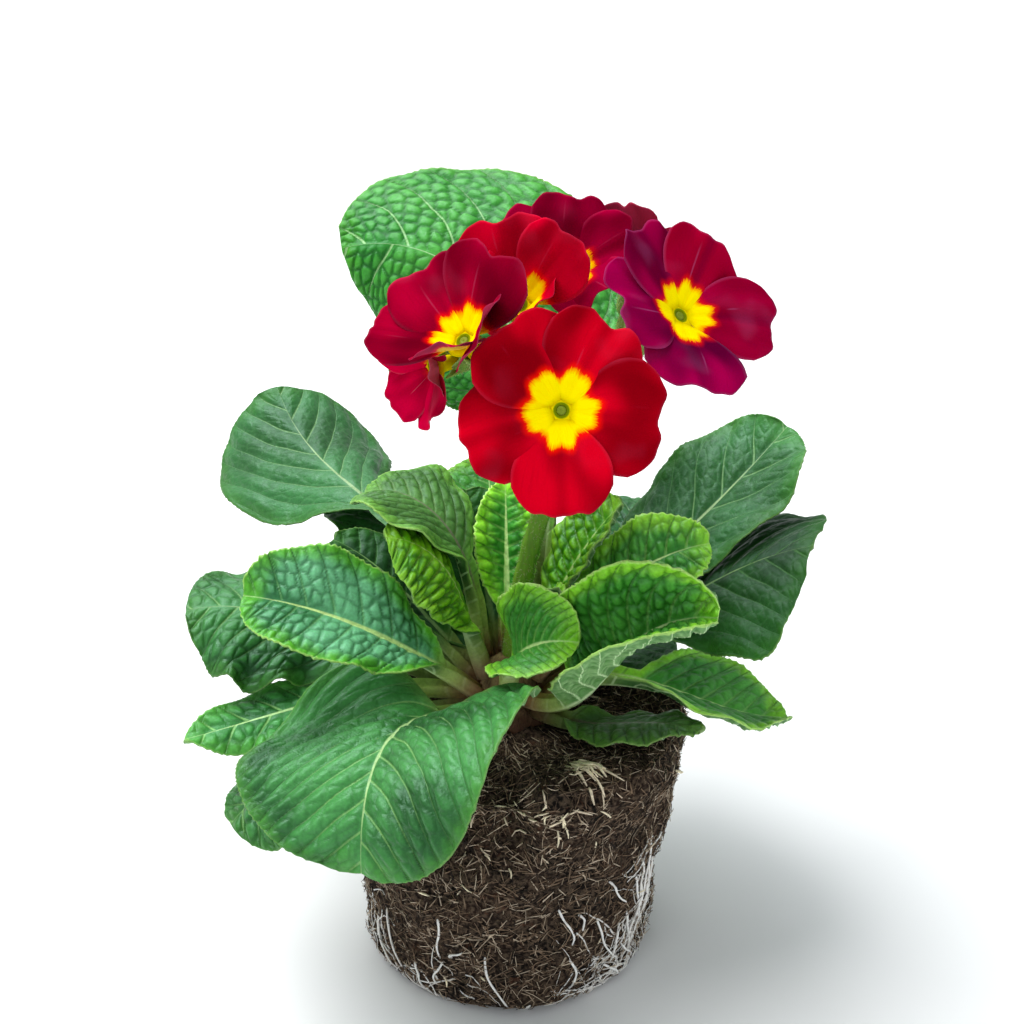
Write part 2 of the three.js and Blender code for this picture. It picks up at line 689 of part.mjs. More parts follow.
// Pedicel, ribbed calyx with five teeth, and the pistil that stands up inside the corolla tube.
function calyxBody(bloom) {
  const { calyxRadius, calyxLength, tubeLength, tubeRadius } = flower;
  const floor = -tubeLength - gap;
  const bore = tubeRadius + gap;
  const cup = turned(
    [
      [0, floor - 1.6],
      [1.9, floor - 1.2],
      [calyxRadius, floor + 2.5],
      [calyxRadius + 0.2, floor + calyxLength],
      [bore + 0.1, floor + calyxLength],
      [bore, floor],
      [0, floor],
    ],
    10,
  );
  const position = cup.getAttribute("position");
  for (let i = 0; i < position.count; i++) {
    const turn = Math.atan2(position.getY(i), position.getX(i));
    const isTooth = position.getZ(i) > floor + calyxLength - 0.1;
    if (isTooth && Math.cos(5 * turn) < 0) position.setZ(i, position.getZ(i) - 2.6);
  }
  const pistil = turned(
    [
      [0, floor - 0.5],
      [flower.styleRadius, floor - 0.5],
      [flower.styleRadius, -1.3],
      [flower.stigmaRadius, -0.6],
      [0, 0.1],
    ],
    6,
  );
  return { cup, pistil };
}

function addFlower(bloom) {
  const facing = towards(...bloom.faces);
  const side = vec(Math.cos(rad(bloom.faces[0])), Math.sin(rad(bloom.faces[0])), 0);
  const upward = new THREE.Vector3().crossVectors(facing, side);
  const place = new THREE.Matrix4().makeBasis(side, upward, facing).setPosition(...bloom.eye);
  const corolla = corollaBody(bloom).applyMatrix4(place);
  addPiece(`${bloom.name}_corolla`, corolla, colours.petal, 0.55);

  const { cup, pistil } = calyxBody(bloom);
  const foot = vec(0, 0, -flower.tubeLength - 1.2).applyMatrix4(place);
  const head = scapeCurve.getPoint(1);
  const leave = towards(...bloom.leaves);
  const start = head.clone().addScaledVector(leave, scape.headRadius + gap);
  const reach = foot.distanceTo(start);
  const curve = new THREE.CubicBezierCurve3(
    start,
    start.clone().addScaledVector(leave, reach * 0.35),
    foot.clone().addScaledVector(facing, -reach * 0.35),
    foot,
  );
  const pedicel = stem(curve, () => flower.pedicelRadius, 4, 6);
  const calyx = fused([cup.applyMatrix4(place), pistil.applyMatrix4(place), pedicel]);
  addPiece(`${bloom.name}_calyx`, calyx, colours.calyx);
}

// ---------- the plant ----------

addPiece("root_ball", rootBall(), colours.soil, 0.95);
addPiece("crown", crownBody(), colours.crown);
for (const leaf of leaves) addPiece(leaf.name, leafBody(leaf), colours.leaf);
addPiece("scape", scapeBody(), colours.stem);
for (const bloom of flowers) addFlower(bloom);

export default plant;
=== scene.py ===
# Flowering primrose on its bare root ball: soil and roots, crown, crinkled leaves, one scape and its umbel.
# Sizes are in millimetres and angles in degrees. buildMesh turns millimetres into metres.
import bpy
import numpy as np
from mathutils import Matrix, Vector


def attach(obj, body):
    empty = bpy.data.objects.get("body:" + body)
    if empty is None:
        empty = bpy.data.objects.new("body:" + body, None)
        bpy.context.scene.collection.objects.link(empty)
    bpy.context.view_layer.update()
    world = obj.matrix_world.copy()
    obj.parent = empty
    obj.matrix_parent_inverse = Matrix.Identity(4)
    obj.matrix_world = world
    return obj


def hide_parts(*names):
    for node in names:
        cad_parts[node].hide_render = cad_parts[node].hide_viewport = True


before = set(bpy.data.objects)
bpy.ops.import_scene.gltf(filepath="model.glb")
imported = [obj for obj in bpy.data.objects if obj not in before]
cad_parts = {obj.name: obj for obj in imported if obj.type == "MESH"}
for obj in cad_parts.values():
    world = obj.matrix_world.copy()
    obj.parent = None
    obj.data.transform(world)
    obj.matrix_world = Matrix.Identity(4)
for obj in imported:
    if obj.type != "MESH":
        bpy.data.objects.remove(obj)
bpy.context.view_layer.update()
print("frame:", len(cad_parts), "nodes")

# Camera and light.

viewpoint = {"target": (1, 0, 130), "distance": 500, "climb": 25, "lens": 68.55, "film": 36, "nearest": 0.01}
studio = {
    "sky": (0.92, 0.97, 1.0), "skyStrength": 0.47,
    "sun": {"from": (-450, 60, 1000), "strength": 2.5, "spread": 44},
    "lampsTarget": (0, 0, 120),
    "lamps": [  # name, place, watts, size
        ("topLamp", (-200, 380, 640), 3.0, 520),
        ("frontLamp", (-260, -900, 560), 0.9, 600),
        ("sideLamp", (700, -520, 180), 1.2, 500),
    ],
}


def aimAt(thing, place, target):
    thing.location = Vector(place) * 0.001
    thing.rotation_euler = (Vector(target) * 0.001 - thing.location).to_track_quat("-Z", "Y").to_euler()
    bpy.context.scene.collection.objects.link(thing)


def setStudio():
    climb = np.radians(viewpoint["climb"])
    target = np.array(viewpoint["target"], float)
    place = target + viewpoint["distance"] * np.array([0, -np.cos(climb), np.sin(climb)])
    camera = bpy.data.objects.new("camera", bpy.data.cameras.new("camera"))
    camera.data.sensor_width = viewpoint["film"]
    camera.data.lens = viewpoint["lens"]
    camera.data.clip_start = viewpoint["nearest"]
    aimAt(camera, place, target)
    bpy.context.scene.camera = camera
    sun = bpy.data.lights.new("softSun", "SUN")
    sun.energy = studio["sun"]["strength"]
    sun.angle = np.radians(studio["sun"]["spread"])
    aimAt(bpy.data.objects.new("softSun", sun), studio["sun"]["from"], (0, 0, 0))
    for name, lampPlace, watts, size in studio["lamps"]:
        lamp = bpy.data.lights.new(name, "AREA")
        lamp.energy = watts
        lamp.size = size * 0.001
        lamp.color = studio["sky"]
        aimAt(bpy.data.objects.new(name, lamp), lampPlace, studio["lampsTarget"])
    world = bpy.data.worlds.new("paleSky")
    world.use_nodes = True
    sky = world.node_tree.nodes["Background"].inputs
    sky["Color"].default_value = (*studio["sky"], 1)
    sky["Strength"].default_value = studio["skyStrength"]
    bpy.context.scene.world = world
    bpy.context.scene.view_settings.view_transform = "Standard"


setStudio()

# Small sums.


def smooth(value, low, high):
    part = np.clip((value - low) / (high - low), 0, 1)
    return part * part * (3 - 2 * part)


def mix(first, second, share):
    return first + (second - first) * share


def unit(vectors):
    return vectors / np.maximum(np.linalg.norm(vectors, axis=-1, keepdims=True), 1e-9)


def towards(azimuth, climb=0):  # azimuth 0 is the front, -Y, and 90 the right, +X
    turn, lift = np.broadcast_arrays(np.radians(azimuth), np.radians(climb))
    return np.stack([np.sin(turn) * np.cos(lift), -np.cos(turn) * np.cos(lift), np.sin(lift)], axis=-1)


def chance(*numbers):  # the same value from 0 to 1 each time for the same numbers
    total = sum(weight * number for weight, number in zip((127.1, 311.7, 74.7, 269.5), numbers))
    wave = np.sin(total) * 43758.5453
    return wave - np.floor(wave)


def lumps(points, size, seed=0):  # soft noise from -1 to 1
    place = np.asarray(points) / size
    cell = np.floor(place)
    part = place - cell
    part = part * part * (3 - 2 * part)
    total = 0
    for i in (0, 1):
        for j in (0, 1):
            for k in (0, 1):
                weight = np.prod(np.abs(1 - np.array([i, j, k]) - part), axis=-1)
                total = total + weight * chance(cell[..., 0] + i, cell[..., 1] + j, cell[..., 2] + k, seed)
    return total * 2 - 1


def bezier(points, steps):
    a, b, c, d = (np.array(point, float) for point in points)
    t = np.linspace(0, 1, steps)[:, None]
    return a * (1 - t) ** 3 + 3 * b * t * (1 - t) ** 2 + 3 * c * t * t * (1 - t) + d * t**3


# Meshes.


def buildMesh(name, finish, points, faces, fields=None):
    mesh = bpy.data.meshes.new(name)
    mesh.from_pydata((np.asarray(points) * 0.001).tolist(), [], [list(face) for face in faces])
    mesh.polygons.foreach_set("use_smooth", np.ones(len(mesh.polygons), bool))
    for field, values in (fields or {}).items():
        values = np.asarray(values, np.float32).ravel()
        mesh.attributes.new(field, "FLOAT", "POINT").data.foreach_set("value", values)
    mesh.materials.append(finish)
    mesh.update()
    piece = bpy.data.objects.new(name, mesh)
    bpy.context.scene.collection.objects.link(piece)
    return piece


def place(piece, slot, *nodes):
    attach(piece, "root")
    if nodes:
        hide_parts(*nodes)
    return piece


def triangles(pieces):
    return sum(len(face.vertices) - 2 for piece in pieces for face in piece.data.polygons)


def sheetFaces(rows, columns, coarse=1):  # a front grid, a back grid, coarser if asked, and the rim
    front = np.arange(rows * columns).reshape(rows, columns)
    back = front[::coarse, ::coarse]
    back = np.arange(back.size).reshape(back.shape) + front.size

    def quads(a, b, c, d):
        return np.stack([a, b, c, d], axis=-1).reshape(-1, 4).tolist()

    faces = quads(front[:-1, :-1], front[1:, :-1], front[1:, 1:], front[:-1, 1:])
    faces += quads(back[:-1, :-1], back[:-1, 1:], back[1:, 1:], back[1:, :-1])
    rims = [[grid[::-1, 0], grid[:, -1], grid[0], grid[-1, ::-1]] for grid in (front, back)]
    for near, far in zip(*rims):
        near, far = near.tolist(), far.tolist()
        faces += [near[k * coarse : (k + 1) * coarse + 1] + [far[k + 1], far[k]] for k in range(len(far) - 1)]
    return faces


def tubes(paths, radii, sides):  # many round strands at once, each closed at both ends
    count, steps = paths.shape[:2]
    along = unit(np.gradient(paths, axis=1))
    reference = unit(np.cross(paths[:, -1] - paths[:, 0], (0.31, 0.52, 0.83)))[:, None]
    across = unit(np.cross(along, reference))
    other = np.cross(along, across)
    turn = 2 * np.pi * np.arange(sides)[:, None] / sides
    rim = across[:, :, None] * np.cos(turn) + other[:, :, None] * np.sin(turn)
    points = (paths[:, :, None] + radii[:, :, None, None] * rim).reshape(-1, 3)
    index = np.arange(count * steps * sides).reshape(count, steps, sides)
    beside = np.roll(index, -1, axis=2)
    walls = np.stack([index[:, :-1], beside[:, :-1], beside[:, 1:], index[:, 1:]], axis=-1).reshape(-1, 4)
    ends = np.concatenate([index[:, 0, ::-1], index[:, -1]])
    return points, walls.tolist() + ends.tolist()


def turnedFaces(rows, sides):  # rings joined into walls, with the first and last ring closed flat
    index = np.arange(rows * sides).reshape(rows, sides)
    beside = np.roll(index, -1, axis=1)
    walls = np.stack([index[:-1], beside[:-1], beside[1:], index[1:]], axis=-1).reshape(-1, 4)
    return walls.tolist() + [index[0, ::-1].tolist(), index[-1].tolist()]


def joined(parts):  # one list of points, faces and fields from several
    points, faces, fields, start = [], [], {}, 0
    for partPoints, partFaces, *partFields in parts:
        points.append(partPoints)
        faces += [[corner + start for corner in face] for face in partFaces]
        for field, values in dict(*partFields).items():
            fields.setdefault(field, []).append(np.broadcast_to(values, len(partPoints)))
        start += len(partPoints)
    return np.concatenate(points), faces, {field: np.concatenate(fields[field]) for field in fields}


# Finishes.


def tone(text):  # a paint colour as it looks on screen
    parts = [int(text[i : i + 2], 16) / 255 for i in (1, 3, 5)]
    return (*[part / 12.92 if part <= 0.04045 else ((part + 0.055) / 1.055) ** 2.4 for part in parts], 1)


def newFinish(name, roughness, gloss, others=None):  # others: more that is the same all over the surface
    finish = bpy.data.materials.new(name)
    finish.use_nodes = True
    surface = finish.node_tree.nodes["Principled BSDF"]
    fixed = {"Roughness": roughness, "Specular IOR Level": gloss, **(others or {})}
    for socket, value in fixed.items():
        surface.inputs[socket].default_value = value
    return finish, finish.node_tree, surface


def plug(socket, value):  # a shader value, a number, or a colour as text
    if isinstance(value, bpy.types.NodeSocket):
        socket.id_data.links.new(value, socket)
    else:
        socket.default_value = tone(value) if isinstance(value, str) else value


def newNode(kind, *values):  # in the tree of the first shader value among these
    tree = next(value.id_data for value in values if isinstance(value, bpy.types.NodeSocket))
    return tree.nodes.new(kind)


def calc(operation, first, second=0.0):
    made = newNode("ShaderNodeMath", first, second)
    made.operation = operation
    plug(made.inputs[0], first)
    plug(made.inputs[1], second)
    return made.outputs[0]


def times(first, second):
    return calc("MULTIPLY", first, second)


def plus(first, second):
    return calc("ADD", first, second)


def minus(first, second):
    return calc("SUBTRACT", first, second)


def spread(value, low, high, first=0.0, last=1.0):  # a soft step between two values
    made = newNode("ShaderNodeMapRange", value)
    made.interpolation_type = "SMOOTHSTEP"
    for socket, given in zip(made.inputs[:5], (value, low, high, first, last)):
        plug(socket, given)
    return made.outputs[0]


def blend(share, first, second, how="MIX"):
    made = newNode("ShaderNodeMix", share, first, second)
    made.data_type = "RGBA"
    made.blend_type = how
    for number, given in ((0, share), (6, first), (7, second)):
        plug(made.inputs[number], given)
    return made.outputs[2]


def layered(base, *layers):  # paints each colour over the ones before it, by its share
    for share, colour in layers:
        base = blend(share, base, colour)
    return base


def together(x, y, z):
    made = newNode("ShaderNodeCombineXYZ", x, y, z)
    for number, given in enumerate((x, y, z)):
        plug(made.inputs[number], given)
    return made.outputs[0]


def shaded(colour, value):
    return blend(1.0, colour, together(value, value, value), "MULTIPLY")


def field(tree, name):
    made = tree.nodes.new("ShaderNodeAttribute")
    made.attribute_name = name
    return made.outputs["Fac"]


def spot(tree):  # where the surface is, in metres
    return tree.nodes.new("ShaderNodeTexCoord").outputs["Object"]


def spotAxes(tree):  # the same as x, y and z
    made = tree.nodes.new("ShaderNodeSeparateXYZ")
    plug(made.inputs[0], spot(tree))
    return made.outputs


def grain(tree, size, detail=2.0, where=None, warp=0.0):
    made = tree.nodes.new("ShaderNodeTexNoise")
    made.inputs["Scale"].default_value = 1000 / size
    made.inputs["Detail"].default_value = detail
    made.inputs["Distortion"].default_value = warp
    plug(made.inputs["Vector"], where or spot(tree))
    return made.outputs["Fac"]


def paint(surface, colour):
    plug(surface.inputs["Base Color"], colour)


def emboss(surface, height, depth):  # depth of the relief in millimetres
    made = newNode("ShaderNodeBump", height)
    made.inputs["Strength"].default_value = 1.0
    made.inputs["Distance"].default_value = depth * 0.001
    plug(made.inputs["Height"], height)
    plug(surface.inputs["Normal"], made.outputs["Normal"])


def twoTone(name, roughness, gloss, patch, low, high, relief=()):  # two colours in soft patches
    finish, tree, surface = newFinish(name, roughness, gloss)
    paint(surface, blend(grain(tree, patch), low, high))
    if relief:
        size, depth = relief
        emboss(surface, grain(tree, size), depth)
    return finish


# Root ball. The right side flares, the front left of the rim has fallen away, and the top dips to a hole
# that the crown fills.

rootBall = {
    "foot": 39.4, "rim": 46.2, "flat": 33, "height": 74, "topDip": 3.5, "hole": 9.5,
    "flare": 3.2, "flareAt": 78, "shoulder": 2.5, "fall": 9, "roundRim": 1.6, "lowest": 0.02,
    "lump": 0.7, "sunk": 0.35, "clods": [(11, 1.0), (5, 0.8), (2.3, 0.55), (1.2, 0.3)],  # size, depth
    "around": 270, "up": 74, "across": 24,
}


def fallen(azimuth, z):  # how far soil has dropped away at the front left of the rim
    return smooth(azimuth, -100, -60) * (1 - smooth(azimuth, 2, 12)) * smooth(z, 42, 67)


def sideRadius(azimuth, z):
    azimuth = (azimuth + 180) % 360 - 180
    tall = rootBall["height"]
    taper = mix(rootBall["foot"], rootBall["rim"], (np.maximum(z, 0) / tall) ** 1.5)
    low = np.clip(1 - z / 6, 0, 1)
    rounding = (rootBall["foot"] - rootBall["flat"]) * (1 - np.sqrt(1 - low * low))
    a = np.radians(azimuth)
    broad = np.sin(3 * a + z * 0.09) + 0.7 * np.sin(5 * a - z * 0.13 + 1) + 0.5 * np.sin(8 * a + z * 0.2)
    rightSide = smooth(np.cos(np.radians(azimuth - rootBall["flareAt"])), 0.3, 1)
    flare = rootBall["flare"] * smooth(z, 48, 66) * rightSide
    shoulder = rootBall["shoulder"] * smooth(z, tall - 6, tall)
    relief = rootBall["lump"] * broad * np.clip(z / 8, 0, 1)
    return taper - rounding + flare - shoulder + relief - rootBall["fall"] * fallen(azimuth, z)


def ballPoint(azimuth, run, lift=0.0):  # run goes up the side to the rim, then in across the top
    azimuth, run, lift = np.broadcast_arrays(azimuth, run, lift)
    tall, hole = rootBall["height"], rootBall["hole"]
    z = np.clip(run, 0, tall)
    fall = rootBall["fall"] * fallen((azimuth + 180) % 360 - 180, z)
    rim = sideRadius(azimuth, np.full_like(z, tall))
    radius = np.where(run > tall, np.maximum(rim - (run - tall), hole), sideRadius(azimuth, z))
    share = np.clip((radius - hole) / (rim - hole), 0, 1)
    dip = np.interp(share, [0, 0.45, 0.85, 1], [1, 0.7, 0.1, 0])
    onTop = tall - rootBall["topDip"] * dip - fall * share - rootBall["roundRim"] * smooth(share, 0.85, 1)
    onSide = z - (fall + rootBall["roundRim"]) * smooth(z, tall - 12, tall)
    out = towards(azimuth)
    bare = out * radius[..., None]
    bare[..., 2] = np.where(run > tall, onTop, onSide)
    lean = smooth(run, tall - 6, tall + 5)[..., None]
    normal = unit(out * (1 - lean) + np.array([0, 0, 1.0]) * lean)
    rough = sum(depth * lumps(bare, size, seed) for seed, (size, depth) in enumerate(rootBall["clods"]))
    rough = (rough - rootBall["sunk"]) * smooth(run, -1, 5)
    point = bare + normal * (rough + lift)[..., None]
    point[..., 2] = np.maximum(point[..., 2], rootBall["lowest"])
    return point


def peatFinish():
    finish, tree, surface = newFinish("peat", 0.96, 0.15)
    clumps = spread(grain(tree, 10, 4), 0.35, 0.65)
    crumbs = spread(grain(tree, 1.1, 3), 0.4, 0.64)
    red = spread(grain(tree, 3.4, 2, warp=1.5), 0.62, 0.72)
    brown = blend(clumps, "#0d0907", "#291c15")
    paint(surface, layered(brown, (times(crumbs, 0.6), "#6b5a4a"), (times(red, 0.45), "#5c3a29")))
    emboss(surface, plus(grain(tree, 0.8, 4), grain(tree, 2.2)), 1.3)
    return finish


def makeRootBall():
    sides, tall = rootBall["around"], rootBall["height"]
    azimuth = np.arange(sides) * 360 / sides
    runs = np.concatenate([
        np.linspace(0, tall, rootBall["up"]),
        tall + np.linspace(0, 1, rootBall["across"])[1:] * (rootBall["rim"] - rootBall["hole"] - 1),
    ])
    rings = [ballPoint(azimuth, np.full(sides, run)) for run in runs]
    floor = [rings[0] * (share, share, 0) + (0, 0, rootBall["lowest"]) for share in (0.3, 0.7)]
    inner = rings[-1] * (0.5, 0.5, 1)
    points = np.concatenate(floor + rings + [inner])
    faces = turnedFaces(len(points) // sides, sides)
    place(buildMesh("soil", peatFinish(), points, faces), "soil", "root_ball")


makeRootBall()
print("root ball made")

# Loose strands felted into the soil: thin brown peat fibres and some paler straw.

fibres = {
    "kinds": [  # how many, length, radius, points along each, how far it bends
        (12500, (1.2, 4.2), (0.08, 0.24), 2, 0), (2700, (3, 8), (0.08, 0.19), 4, 60),
    ],
    "inward": 26, "lift": (0, 1.2), "tip": 0.5, "paleness": (1.0, 1.5, 0.86), "seed": 4,
}
straws = {
    "radius": (0.26, 0.54), "along": (0.8, 1, 0.9, 0.4), "lift": (0.4, 1.9), "bend": 25,
    "paleness": (0.84, 1.0),
    "tufts": [  # middle azimuth, run, spread of each, how many, length, heading and its spread
        (32, 88.5, 2.4, 1.4, 20, 9, 266, 16), (31, 82, 2.6, 2.2, 12, 5, 240, 45),
        (10, 66, 5, 3, 20, 4, 50, 80), (-8, 55, 9, 6, 9, 3, 0, 80), (30, 45, 45, 22, 14, 3, 0, 80),
        (165, 55, 70, 22, 26, 5, 0, 80),
    ],
    "seed": 9,
}


def strandPaths(azimuth, run, heading, length, bend, lift, steps):
    share = np.linspace(0, 1, steps)
    turn = np.radians(heading[:, None] + bend[:, None] * (share - 0.5))
    stepLength = length[:, None] / (steps - 1)
    radius = sideRadius(azimuth, np.clip(run, 0, rootBall["height"]))[:, None]
    onAzimuth = azimuth[:, None] + np.degrees(np.cumsum(np.cos(turn) * stepLength, axis=1) / radius)
    onRun = run[:, None] + np.cumsum(np.sin(turn) * stepLength, axis=1)
    raised = lift[:, None] * (0.15 + 0.9 * share)
    return ballPoint(onAzimuth, np.clip(onRun, 0.3, None), raised)


def strandFinish():
    finish, tree, surface = newFinish("peatFibre", 0.85, 0.25)
    shade = field(tree, "shade")
    brown = layered("#1a120d", (spread(shade, 0, 0.4), "#8a725c"), (spread(shade, 0.4, 0.8), "#e2cfb6"))
    brown = blend(spread(shade, 0.82, 1.0), brown, "#fff2d0")
    paint(surface, shaded(brown, spread(grain(tree, 1.0), 0.3, 0.7, 0.7, 1.08)))
    emboss(surface, grain(tree, 0.4), 0.12)
    return finish


def makeFibres():
    draw = np.random.default_rng(fibres["seed"])
    parts = []
    for count, length, radius, steps, bend in fibres["kinds"]:
        azimuth = draw.uniform(-180, 180, count)
        run = draw.uniform(0.5, rootBall["height"] + fibres["inward"], count)
        heading = draw.uniform(0, 216, count) + draw.choice([0, 180], count)
        paths = strandPaths(
            azimuth, run, heading, draw.uniform(*length, count), draw.normal(0, 1, count) * bend,
            draw.uniform(*fibres["lift"], count), steps,
        )
        radii = draw.uniform(*radius, count)[:, None] * np.linspace(1, fibres["tip"], steps)
        low, high, most = fibres["paleness"]
        points, faces = tubes(paths, radii, 3)
        parts.append((points, faces, {"shade": np.repeat(draw.beta(low, high, count) * most, steps * 3)}))
    draw = np.random.default_rng(straws["seed"])
    for azimuth, run, aroundSpread, upSpread, count, long, heading, headingSpread in straws["tufts"]:
        paths = strandPaths(
            azimuth + draw.normal(0, aroundSpread, count), run + draw.normal(0, upSpread, count),
            heading + draw.normal(0, headingSpread, count), long * draw.uniform(0.5, 1.2, count),
            draw.normal(0, straws["bend"], count), draw.uniform(*straws["lift"], count), 4,
        )
        stout = draw.uniform(*straws["radius"], count)[:, None]
        radii = stout * np.array(straws["along"]) * (0.35 + long / 12)
        points, faces = tubes(paths, radii, 4)
        parts.append((points, faces, {"shade": np.repeat(draw.uniform(*straws["paleness"], count), 16)}))
    place(buildMesh("peatFibres", strandFinish(), *joined(parts)), "soil")


makeFibres()
print("fibres laid")

# White roots: stout ones that show singly, and the finer mat low on the right and round the foot.

stoutRoots = {
    "runs": [  # azimuth and height where each starts, height where it ends, drift
        (-26, 31, 16, 0), (-27, 15.5, 6, -3), (-23, 18, 21, 5), (-9, 20, 0.5, 9), (20.5, 33.5, 21, 4.5),
        (25, 17, 6, 0.5), (28, 30, 25, 2), (39, 38, 27, 12), (34, 27, 9, 12), (48, 21, 9, -6),
        (52, 25, 8, 3), (64, 44, 20, -4), (57, 40, 22, 3), (60, 31, 10, -5), (54, 35, 15, 9),
        (66, 35, 14, 2), (50, 14, 4, 10), (42, 10, 2, 8), (70, 36, 8, -10), (-39, 12, 2, 5),
        (-58, 24, 4, 15), (-66, 18, 2, 12), (96, 36, 4, 12), (128, 30, 3, -18), (162, 38, 5, 15),
        (-160, 28, 3, -14), (-128, 36, 4, 17), (-96, 26, 3, -12),
    ],
    "radius": 0.35, "steps": 14, "sides": 7,
}
fineRoots = {
    "patches": [  # middle azimuth, height, spread of each, how many
        (68, 30, 4, 10, 40), (62, 16, 8, 9, 56), (44, 8, 9, 5, 34), (33, 16, 6, 8, 12), (14, 4, 12, 3, 7),
        (-35, 6, 16, 3.5, 18), (-64, 13, 9, 7, 20), (90, 16, 16, 12, 34), (135, 14, 26, 11, 44),
        (180, 12, 28, 10, 40), (-130, 14, 28, 11, 44),
    ],
    "length": (5, 20), "radius": (0.13, 0.32), "bend": 80, "lift": (0.1, 0.9), "steps": 9, "seed": 21,
}


def rootFinish():
    finish, tree, surface = newFinish("whiteRoot", 0.6, 0.4, {"Subsurface Weight": 0.08})
    cream = blend(field(tree, "shade"), "#fffdf9", "#dcd4c8")
    dirt = spread(grain(tree, 2.2, 3), 0.54, 0.74)
    paint(surface, blend(times(dirt, 0.4), cream, "#8d7866"))
    emboss(surface, grain(tree, 0.6), 0.15)
    return finish


def makeRoots():
    draw = np.random.default_rng(fineRoots["seed"])
    parts = []
    share = np.linspace(0, 1, stoutRoots["steps"])
    for number, (azimuth, high, low, drift) in enumerate(stoutRoots["runs"]):
        onAzimuth = azimuth + drift * share
        onAzimuth = onAzimuth + 1.2 * np.sin(share * 6 + number) + 0.5 * np.sin(share * 23 + number)
        path = ballPoint(onAzimuth, mix(high, low, share), 0.9 - 1.3 * (2 * share - 1) ** 6)
        for _ in range(3):  # evens out the path
            path[1:-1] = (path[:-2] + 2 * path[1:-1] + path[2:]) / 4
        radii = stoutRoots["radius"] * (1 - 0.35 * share) * (1 + 0.12 * np.sin(share * 23 + number))
        points, faces = tubes(path[None], radii[None], stoutRoots["sides"])
        parts.append((points, faces, {"shade": 0.1 + 0.3 * chance(number, 3)}))
    steps = fineRoots["steps"]
    for azimuth, height, aroundSpread, upSpread, count in fineRoots["patches"]:
        start = azimuth + draw.normal(0, aroundSpread, count)
        run = np.clip(height + draw.normal(0, upSpread, count), 1.2, 46)
        length = draw.uniform(*fineRoots["length"], count)
        heading = -90 + draw.normal(0, 45, count) * (1 + 12 / (run + 6))
        bend = draw.normal(0, fineRoots["bend"], count)
        paths = strandPaths(start, run, heading, length, bend, draw.uniform(*fineRoots["lift"], count), steps)
        paths = paths + lumps(paths, 2.4, 5)[..., None] * 0.35
        paths[..., 2] = np.maximum(paths[..., 2], 0.3)
        radii = draw.uniform(*fineRoots["radius"], count)[:, None] * np.linspace(1, 0.4, steps)
        points, faces = tubes(paths, radii, 4)
        parts.append((points, faces, {"shade": np.repeat(draw.beta(1.2, 2.8, count), steps * 4)}))
    place(buildMesh("whiteRoots", rootFinish(), *joined(parts)), "soil")


makeRoots()
print("roots laid")

# Crown.

crown = {
    "bottomRadius": 10.5, "topRadius": 5.5, "soilTop": 70.5, "low": 64, "top": 88, "rings": 26, "sides": 72,
    "scale": 0.45, "lump": 0.5, "under": 0.6, "roundTop": 2.5,
}


def crownRadius(z):
    bottom, top, soilTop = crown["bottomRadius"], crown["topRadius"], crown["soilTop"]
    return np.where(z < soilTop, bottom, mix(bottom, top, (z - soilTop) / (crown["top"] - soilTop)))


def crownFinish():
    finish, tree, surface = newFinish("crownSkin", 0.7, 0.3)
    x, y, z = spotAxes(tree)
    streak = spread(grain(tree, 1.6, 3, together(x, y, times(z, 0.25))), 0.35, 0.68)
    skin = blend(spread(z, 0.070, 0.086), "#553826", "#86764a")
    paint(surface, blend(times(streak, 0.6), skin, "#4c2e20"))
    emboss(surface, streak, 0.5)
    return finish


def makeCrown():
    sides, top = crown["sides"], crown["top"]
    azimuth = np.arange(sides) * 360 / sides
    rings = []
    for z in np.linspace(crown["low"], top, crown["rings"]):
        base = towards(azimuth) * float(crownRadius(z)) + (0, 0, z)
        scales = crown["scale"] * np.sin(np.radians(azimuth) * 7 + z * 0.9)
        scales = scales + crown["lump"] * lumps(base, 3.0, 2)
        rounding = crown["roundTop"] * smooth(z, top - 2.5, top + 0.5)
        radius = float(crownRadius(z)) - crown["under"] + scales - rounding
        rings.append(towards(azimuth) * radius[:, None] + (0, 0, z))
    points = np.concatenate(rings)
    place(buildMesh("crownSkin", crownFinish(), points, turnedFaces(len(rings), sides)), "crown", "crown")


makeCrown()
print("crown made")
